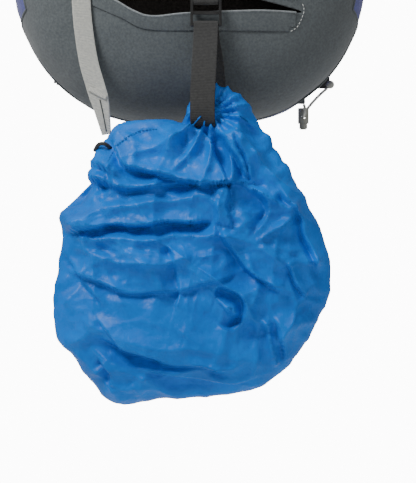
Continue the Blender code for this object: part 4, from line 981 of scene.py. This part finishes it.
COVER_Y = plane - 0.011
COVER_DEEP = 0.041
COVER_FILM = 0.0008
FRONT_RINGS = 106
COVER_MIDDLE = np.array([0.003, BAG_BASE - 0.1455])
COVER_MOUTH = np.array([0.0, BAG_BASE - 0.071])
COVER_OUTLINE = [
    (0.033, 0.0325), (0.051, 0.0245), (0.073, -0.0055), (0.111, -0.0705), (0.136, -0.1205),
    (0.139, -0.1705), (0.129, -0.1960), (0.111, -0.2305), (0.076, -0.2635), (0.041, -0.2755),
    (-0.019, -0.2785), (-0.079, -0.2790), (-0.114, -0.2355), (-0.132, -0.2105), (-0.134, -0.1705),
    (-0.127, -0.1155), (-0.126, -0.0955), (-0.103, -0.0805), (-0.097, -0.0505), (-0.091, -0.0355),
    (-0.071, -0.0085), (-0.039, -0.0035), (-0.008, -0.0045), (0.001, 0.0180), (0.016, 0.0310),
]

# Folds of the front, in millimetres: points of x and depth below the base, height and width.
# A positive height is a rounded ridge; a negative one is a pleat, whose upper cloth laps the lower.
FOLDS = [
    ([(34, 15), (45, 35), (56, 60)], -8, 4.5), ([(49, 16), (56, 38), (61, 64)], -6, 3.5),
    ([(42, 12), (50, 34), (58, 60)], 5, 4.5), ([(-125, 115), (-68, 86), (22, 82)], 7, 8),
    ([(-123, 117), (-50, 104), (24, 107)], -11, 6), ([(24, 82), (25, 95), (24, 109)], -4, 2.5),
    ([(-123, 122), (-30, 118), (65, 120)], 7, 6), ([(46, 62), (80, 80), (104, 93)], 7, 5),
    ([(104, 93), (86, 108), (67, 119)], 6, 5), ([(60, 70), (76, 90), (64, 112)], -6, 5),
    ([(44, 109), (34, 90), (40, 70)], -5, 4), ([(104, 95), (116, 140), (125, 180)], 5, 12),
    ([(95, 142), (103, 160), (111, 180)], -7, 3.5),
    ([(22, 182), (30, 168), (46, 172), (52, 190), (42, 208), (26, 204)], -7, 4.5),
    ([(30, 190), (38, 184), (42, 194)], 7, 6), ([(68, 193), (83, 220), (88, 242)], 6, 3.2),
    ([(78, 194), (93, 220), (96, 240)], -5, 4), ([(-84, 240), (-76, 250), (-78, 265)], -7, 4),
    ([(-121, 133), (-106, 160), (-88, 186)], -4, 3), ([(-104, 47), (-88, 49), (-74, 54)], -9, 4),
    ([(-112, 68), (-96, 64), (-80, 68)], -8, 4), ([(-60, 12), (-50, 30), (-52, 48)], 4, 7),
    ([(-20, 8), (-12, 30), (-20, 52)], 3, 8), ([(-110, 200), (-40, 222), (30, 232)], 5, 9),
    ([(-90, 214), (-20, 240), (40, 250)], -6, 6), ([(60, 130), (66, 160), (58, 185)], 5, 8),
    ([(-80, 130), (-76, 160), (-60, 196)], 3, 10),
    ([(-118, 128), (-70, 140), (-10, 142), (40, 134)], 5, 7),
    ([(-122, 152), (-70, 168), (0, 170), (52, 152)], -5, 5),
    ([(-100, 228), (-50, 244), (10, 250), (60, 240)], 5, 7),
    ([(70, 118), (96, 150), (100, 190), (86, 230)], 5, 8), ([(84, 70), (112, 110), (128, 150)], -7, 5),
    ([(-96, 60), (-60, 70), (-20, 66), (20, 74)], -6, 5), ([(30, 112), (60, 150), (90, 168)], -8, 5),
    ([(10, 150), (50, 176), (70, 214)], 5, 6), ([(-40, 246), (20, 262), (60, 256)], -6, 5),
    ([(-92, 196), (-60, 226), (-20, 236)], -5, 6), ([(-20, 124), (-10, 150), (-16, 190)], -3, 9),
]
# Lobes that lie over the cloth below them: their edge, and the height of the step
LOBES = [
    ([(-71, 32), (-64, 48), (-49, 53), (-26, 58), (6, 66), (37, 66)], 9, 16),
    ([(37, 66), (33, 51), (26, 36), (21, 21), (11, 12), (-4, 8)], 8, 14),
]


def line_distance(x, z, line):
    """Signed distance from every point to a curve, positive on its left, and the share along it.
    The least distance to any of the curve's short spans is taken, and its sign from that span."""
    curve = smooth(np.array(line, dtype=float), 6)
    start, end = curve[:-1], curve[1:]
    span = end - start
    best = np.full(x.shape, 1e9)
    signed = np.zeros_like(best)
    share = np.zeros_like(best)
    for k in range(len(span)):
        dx, dz = x - start[k, 0], z - start[k, 1]
        t = np.clip((dx * span[k, 0] + dz * span[k, 1]) / (span[k] @ span[k]), 0, 1)
        ox, oz = dx - t * span[k, 0], dz - t * span[k, 1]
        apart = np.hypot(ox, oz)
        nearer = apart < best
        side = np.sign(span[k, 0] * oz - span[k, 1] * ox)
        best = np.where(nearer, apart, best)
        signed = np.where(nearer, apart * side, signed)
        share = np.where(nearer, (k + t) / len(span), share)
    return signed, share


def crumple(x, z):
    """Small creases in millimetres: sharp-crested waves in many directions, each bent by a slow wave,
    in four sizes from 58 down to 10 mm."""
    drawn = np.random.default_rng(7)
    total = np.zeros_like(x)
    for size, height, count in ((58, 19.0, 5), (33, 13.0, 6), (19, 5.0, 7), (10, 1.2, 7)):
        for _ in range(count):
            angle, phase, bend = drawn.uniform(0, math.pi), drawn.uniform(0, 9), drawn.uniform(0, 9)
            u = x * math.cos(angle) + z * math.sin(angle)
            v = -x * math.sin(angle) + z * math.cos(angle)
            warp = 0.55 * size * np.sin(v / (1.1 * size) + bend)
            crest = 1 - np.abs(np.sin((u + warp) * math.pi / (2 * size) + phase))
            patch = 0.5 + 0.5 * np.sin(v / (1.7 * size) + 2 * bend)
            total += height / math.sqrt(count) * (crest**2.6 - 0.22) * patch
    return total


def fold_height(x, z):
    """Height of the front's folds in millimetres at x and depth z below the base: ridges and lapped
    pleats along the fold curves, steps at the lobes' edges, a fan below the tether, and creases."""
    bent_x = x + 3.0 * np.sin(z / 17) + 1.2 * np.sin(z / 7 + x / 11)
    bent_z = z + 2.6 * np.sin(x / 19 + 1) + 1.2 * np.sin(x / 8 - z / 13)
    smooth_part = np.exp(-(((x + 45) / 62) ** 2) - ((z - 205) / 34) ** 2)
    total = crumple(x, z) * (1 - 0.65 * smooth_part)
    for line, height, width in FOLDS:
        apart, share = line_distance(bent_x, bent_z, line)
        ends = np.clip(np.sin(math.pi * np.clip(share, 0.02, 0.98)) * 2.2, 0, 1)
        if height > 0:
            total += 1.5 * height * np.exp(-((np.abs(apart) / width) ** 1.15)) * ends
        else:
            total += height * np.tanh(apart / 1.1) * np.exp(-np.abs(apart) / (2.4 * width)) * ends
    for line, height, reach in LOBES:
        apart, share = line_distance(x, z, line)
        above = np.exp(-np.abs(apart) / reach)
        step = 0.5 - 0.5 * np.tanh(apart / 0.9)
        total += 1.3 * height * above * step - 0.9 * height * np.exp(-np.abs(apart) / 5) * (1 - step)
    radius = np.hypot(x - 22, z + 8)
    angle = np.arctan2(z + 8, x - 22)
    fan = (1 - np.abs(np.sin(angle * 7.5 + 0.8 * np.sin(radius / 21)))) ** 1.5
    total += 9.0 * (fan - 0.3) * np.exp(-((radius / 92) ** 2)) * np.clip(radius / 14, 0, 1)
    hollow = np.hypot((x - 68) / 1.2, z - 209)
    total -= 13 * np.exp(-((hollow / 12) ** 2))
    return total


def bulge(share):
    """How far the cover stands out from its rim, as a share, at a share of the way to the rim."""
    return (1 - share**2.6) ** 0.45


def cover_rings():
    """The cover as rings round its middle: out over the front from a pole, round the rim, and in over
    the back to the mouth. Shares run 0 to 1 in front and back to the mouth's share behind."""
    around = 330
    outline = smooth(np.array(COVER_OUTLINE) + (0, BAG_BASE), 14, closed=True)
    gap = np.linalg.norm(np.roll(outline, -1, axis=0) - outline, axis=1)
    run = np.concatenate([[0], np.cumsum(gap)])
    at = np.linspace(0, run[-1], around, endpoint=False)
    whole = np.concatenate([outline, outline[:1]])
    rim = np.stack([np.interp(at, run, whole[:, k]) for k in range(2)], axis=1)
    from_middle = rim - COVER_MIDDLE
    bearing = np.arctan2(from_middle[:, 1], from_middle[:, 0])
    ruffle = np.abs(np.sin(bearing * 19)) * np.exp(-(((bearing - 2.42) / 0.24) ** 2))
    ruffle += 0.6 * np.abs(np.sin(bearing * 26)) * np.exp(-(((bearing - 1.02) / 0.30) ** 2))
    reach = from_middle * (1 + 0.034 * (ruffle - 0.2 * (ruffle > 0.05))[:, None])
    rim = COVER_MIDDLE + reach
    front = np.linspace(0, 1, FRONT_RINGS)
    share = np.sin(front * math.pi / 2)
    flat = COVER_MIDDLE + reach[None] * share[:, None, None]
    x, z = flat[..., 0], flat[..., 1]
    y = COVER_Y - COVER_DEEP * bulge(share[:, None])
    folds = fold_height(x * 1000, (BAG_BASE - z) * 1000) / 1000
    calm = 1 - 0.75 * np.clip((share[:, None] - 0.90) / 0.10, 0, 1)
    y = y - folds * calm
    pinch = 0.35 * folds * share[:, None] ** 3
    outward = reach / np.linalg.norm(reach, axis=1, keepdims=True)
    x = x + pinch * outward[None, :, 0]
    z = z + pinch * outward[None, :, 1]
    front_points = np.stack([x, y, z], axis=2)

    angle = np.arctan2(reach[:, 1], reach[:, 0])
    wave = 1 + 0.055 * np.sin(angle * 23) + 0.03 * np.sin(angle * 37 + 1)
    oval = np.stack([0.0865 * np.cos(angle), 0.0560 * np.sin(angle)], axis=1)
    mouth_rim = COVER_MOUTH + oval * wave[:, None]
    back = np.linspace(0, 1, 36)[1:, None]
    ease = np.sin(back * math.pi / 2)[..., None]
    flat = rim[None] + (mouth_rim - rim)[None] * ease
    x, z = flat[..., 0], flat[..., 1]
    away = np.linalg.norm(flat - COVER_MIDDLE, axis=2) / np.linalg.norm(reach, axis=1)
    y = COVER_Y + COVER_DEEP * bulge(np.clip(away, 0, 1))
    gather = 0.0032 * np.sin(angle * 23 + 0.6)[None] * back**2
    y = y + gather + crumple(x * 1000 + 40, z * 1000) / 1000 * 0.8 * np.sin(back * math.pi)
    edge_pinch = pinch[-1:] * (1 - back) ** 2
    x = x + edge_pinch * outward[None, :, 0]
    z = z + edge_pinch * outward[None, :, 1]
    y = y + (front_points[-1:, :, 1] - COVER_Y) * (1 - back) ** 2
    back_points = np.stack([x, y, z], axis=2)
    return np.concatenate([front_points, back_points])


cover_points = cover_rings()
cover = grid_mesh("rain_cover_sheet", cover_points, closed=True)
weld(cover)
turn_away(cover, (COVER_MIDDLE[0], COVER_Y, COVER_MIDDLE[1]))

# Coated ripstop nylon: thin, cool blue, with the soft gloss of its coating and a 5 mm ripstop grid.
blue, tree, shader = start_material("blue_coated_ripstop_nylon", "#006CC8", 0.42, Specular_IOR_Level=0.25)
place = add_node(tree, "ShaderNodeTexCoord").outputs["Object"]
uneven_colour(tree, shader, place, "#0066C0", "#0074D6", 30, 4.0)
heights = []
for direction in ("X", "Z"):
    wave = add_node(
        tree, "ShaderNodeTexWave",
        {"bands_direction": direction, "Scale": wave_scale(0.005), "Distortion": 2.0, "Detail": 0.0},
        {"Vector": place},
    )
    line = add_node(tree, "ShaderNodeMath", {"operation": "POWER", 1: 14.0}, {0: wave.outputs["Fac"]})
    heights.append(line.outputs[0])
grid = add_node(tree, "ShaderNodeMath", {"operation": "MAXIMUM"}, {0: heights[0], 1: heights[1]})
fine = add_node(tree, "ShaderNodeBump", {"Strength": 0.12, "Distance": 0.0003}, {"Height": grid.outputs[0]})
crease = add_node(
    tree,
    "ShaderNodeTexNoise",
    {"Scale": 75.0, "Detail": 5.0, "Roughness": 0.55, "Distortion": 1.2},
    {"Vector": place},
)
limp = add_node(
    tree, "ShaderNodeBump", {"Strength": 0.35, "Distance": 0.003},
    {"Height": crease.outputs["Fac"], "Normal": fine.outputs["Normal"]},
)
tree.links.new(limp.outputs["Normal"], shader.inputs["Normal"])
film = cover.modifiers.new("cloth_thickness", "SOLIDIFY")
film.thickness = COVER_FILM
film.offset = -1
settle(cover)
stand_in(cover, blue, "blue_coated_nylon", "cover", "rain_cover")

# Elastic cord in the hem, black and braided, gathered round the mouth
hem_turn = np.linspace(0, math.tau, 160, endpoint=False)
hem_x = 0.0813 * np.cos(hem_turn)
hem_z = COVER_MOUTH[1] + 0.0503 * np.sin(hem_turn)
hem_share = np.hypot(hem_x - COVER_MIDDLE[0], hem_z - COVER_MIDDLE[1]) / 0.138
hem_y = COVER_Y + 0.0405 * bulge(np.clip(hem_share, 0, 0.97)) - 0.001
hem_path = np.stack([hem_x, hem_y, hem_z], axis=1)
hem = swept("cover_hem_elastic", hem_path, (0, 1, 0), round_section(0.0023, 10), closed=True)
stand_in(hem, black_webbing, "black_webbing", "cover", "cover_hem")


def on_cover(line):
    """(x, height above base) points laid on the nearest points of the cover's front."""
    wanted = np.asarray(line) + (0, BAG_BASE)
    front = cover_points[:FRONT_RINGS].reshape(-1, 3)
    apart = np.linalg.norm(front[None, :, ::2] - wanted[:, None], axis=2)
    depth = front[apart.argmin(axis=1), 1]
    depth = np.convolve(np.pad(depth, 2, mode="edge"), np.ones(5) / 5, mode="valid")
    return np.stack([wanted[:, 0], depth - 0.0005, wanted[:, 1]], axis=1)


# Stitches of the folded hem, 8 mm in from its edge where the hem turns to the front
hem_line = [(-0.030, -0.0120), (-0.048, -0.0135), (-0.062, -0.0215), (-0.073, -0.0320), (-0.079, -0.0450)]
hem_row = on_cover(smooth(hem_line, 14))
blue_thread = thread_material("dark_blue_polyester_thread", "#01457F", "#013C70", "#02508F", 0.6)
stitch_row(
    "cover_hem_stitches", hem_row,
    0.0026, 0.0012, 0.0004, blue_thread, "cover", "blue_coated_nylon",
)

# A short length of the hem's elastic shows at the left, where the grey strap ends
tail_line = [
    (-0.0930, -0.0315), (-0.0885, -0.0265), (-0.0825, -0.0262), (-0.0770, -0.0300), (-0.0740, -0.0360),
]
tail_path = np.insert(smooth(tail_line, 8) + (0, BAG_BASE), 1, COVER_Y - 0.019, axis=1)
tail_path[:, 1] += 0.016 * np.linspace(-1, 1, len(tail_path)) ** 2
elastic_tail = swept("cover_elastic_tail", tail_path, (0, 1, 0.1), round_section(0.0020, 10))
stand_in(elastic_tail, black_webbing, "black_webbing", "cover")

# ------------------------------------------------------------------ zip
# A nylon coil zip round the flap: each tape carries a row of coil loops 1.5 mm apart along the
# seam, and a dark woven tape behind them.


def plastic_material(name, dark, light, roughness):
    """Moulded plastic: almost one tone, with a fine spark-eroded grain of 0.6 mm in its bump."""
    made, tree, shader = start_material(name, light, roughness)
    place = add_node(tree, "ShaderNodeTexCoord").outputs["Object"]
    uneven_colour(tree, shader, place, dark, light, 160)
    grain = add_node(tree, "ShaderNodeTexNoise", {"Scale": 1700.0, "Detail": 2.0}, {"Vector": place})
    bump = add_node(
        tree, "ShaderNodeBump", {"Strength": 0.2, "Distance": 0.0002}, {"Height": grain.outputs["Fac"]}
    )
    tree.links.new(bump.outputs["Normal"], shader.inputs["Normal"])
    return made


# Moulded acetal, satin, in near black and in grey; lime puller grips; white polyethylene sheet
black_acetal = plastic_material("moulded_black_acetal", "#181818", "#262626", 0.42)
grey_acetal = plastic_material("moulded_grey_acetal", "#8B8C84", "#A5A69D", 0.45)
lime_plastic = plastic_material("moulded_lime_plastic", "#8EBB33", "#A6D247", 0.5)
white_plastic = plastic_material("extruded_white_polyethylene", "#CFCFC7", "#DEDED8", 0.5)


def zip_path(grow):
    """Up one leg of the zip, over the flap's top round its two corners, and down the other leg."""
    half, radius = 0.118 + grow, 0.060 + grow
    top, low = BAG_TOP - 0.065 + grow, FLAP_HINGE_Z + 0.030
    t = np.linspace(math.pi, math.pi / 2, 24)
    leg = np.stack([np.full(24, -half), np.linspace(low, top - radius, 24, endpoint=False)], axis=1)
    corner = np.stack([radius - half + radius * np.cos(t), top - radius + radius * np.sin(t)], axis=1)
    left = np.concatenate([leg, corner])
    flat = np.stack([np.linspace(-0.05, 0.05, 11), np.full(11, top)], axis=1)
    line = np.concatenate([left, flat, left[::-1] * (-1, 1)])
    return np.stack([line[:, 0], front_y(line[:, 0], line[:, 1]) - 0.00175, line[:, 1]], axis=1)


for node, grow, body in (("zip_tape_bag", 0.0045, "pack"), ("zip_tape_flap", -0.0045, "flap")):
    path = zip_path(grow)
    side = np.gradient(path, axis=0)
    side = np.stack([-side[:, 2], 0 * side[:, 0], side[:, 0]], axis=1)
    side /= np.linalg.norm(side, axis=1, keepdims=True)
    tape = swept(node + "_webbing", path, side, strap_section(0.0042, 0.0010))
    stand_in(tape, black_webbing, "black_acetal", body, node)
    coil_path = zip_path(grow * 0.42)
    stitch_row(node + "_coil", coil_path, 0.0010, 0.0006, 0.0009, black_acetal, body, "black_acetal")

# ------------------------------------------------------------------ moulded and metal parts
# Buckles, ladder locks, clips, sliders and the cord lock are injection moulded; the stay is bar
# stock and the spring is drawn wire. Their shapes are the frame's own.

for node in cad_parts:
    if node in ("main_bag", "hydration_sleeve"):
        paint(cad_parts[node], lining)
    elif node == "frame_sheet":
        paint(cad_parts[node], white_plastic)
    elif node.startswith("zip_puller"):
        paint(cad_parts[node], lime_plastic)
    elif node.startswith(("cord_lock", "cord_end", "sternum_clip")):
        paint(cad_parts[node], grey_acetal)
    elif "buckle" in node or "ladder" in node or node == "tether_lock" or node.startswith("zip_slider"):
        paint(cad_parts[node], black_acetal)
    elif node == "cord_tab":
        paint(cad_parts[node], charcoal)

# Extruded aluminium bar, brushed along its length
aluminium, tree, shader = start_material("brushed_aluminium_bar", "#B8BCC0", 0.35, Metallic=1.0)
place = add_node(tree, "ShaderNodeTexCoord").outputs["Object"]
stretch = add_node(tree, "ShaderNodeMapping", {"Scale": (900.0, 900.0, 12.0)}, {"Vector": place})
scratches = add_node(
    tree, "ShaderNodeTexNoise", {"Scale": 1.0, "Detail": 3.0}, {"Vector": stretch.outputs["Vector"]}
)
bump = add_node(
    tree, "ShaderNodeBump", {"Strength": 0.2, "Distance": 0.0002}, {"Height": scratches.outputs["Fac"]}
)
tree.links.new(bump.outputs["Normal"], shader.inputs["Normal"])
paint(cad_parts["frame_stay"], aluminium)

# The cord lock's spring, a copy of its CAD mesh in place of it; the real spring shortens from 4.5 to 2.5 mm
# as its plunger is pressed
spring = bpy.data.objects.new("plunger_spring_wire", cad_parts["cord_lock_spring"].data.copy())
bpy.context.scene.collection.objects.link(spring)
close_up(spring)
stand_in(spring, aluminium, "spring_steel", "pack", "cord_lock_spring")
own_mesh(spring)
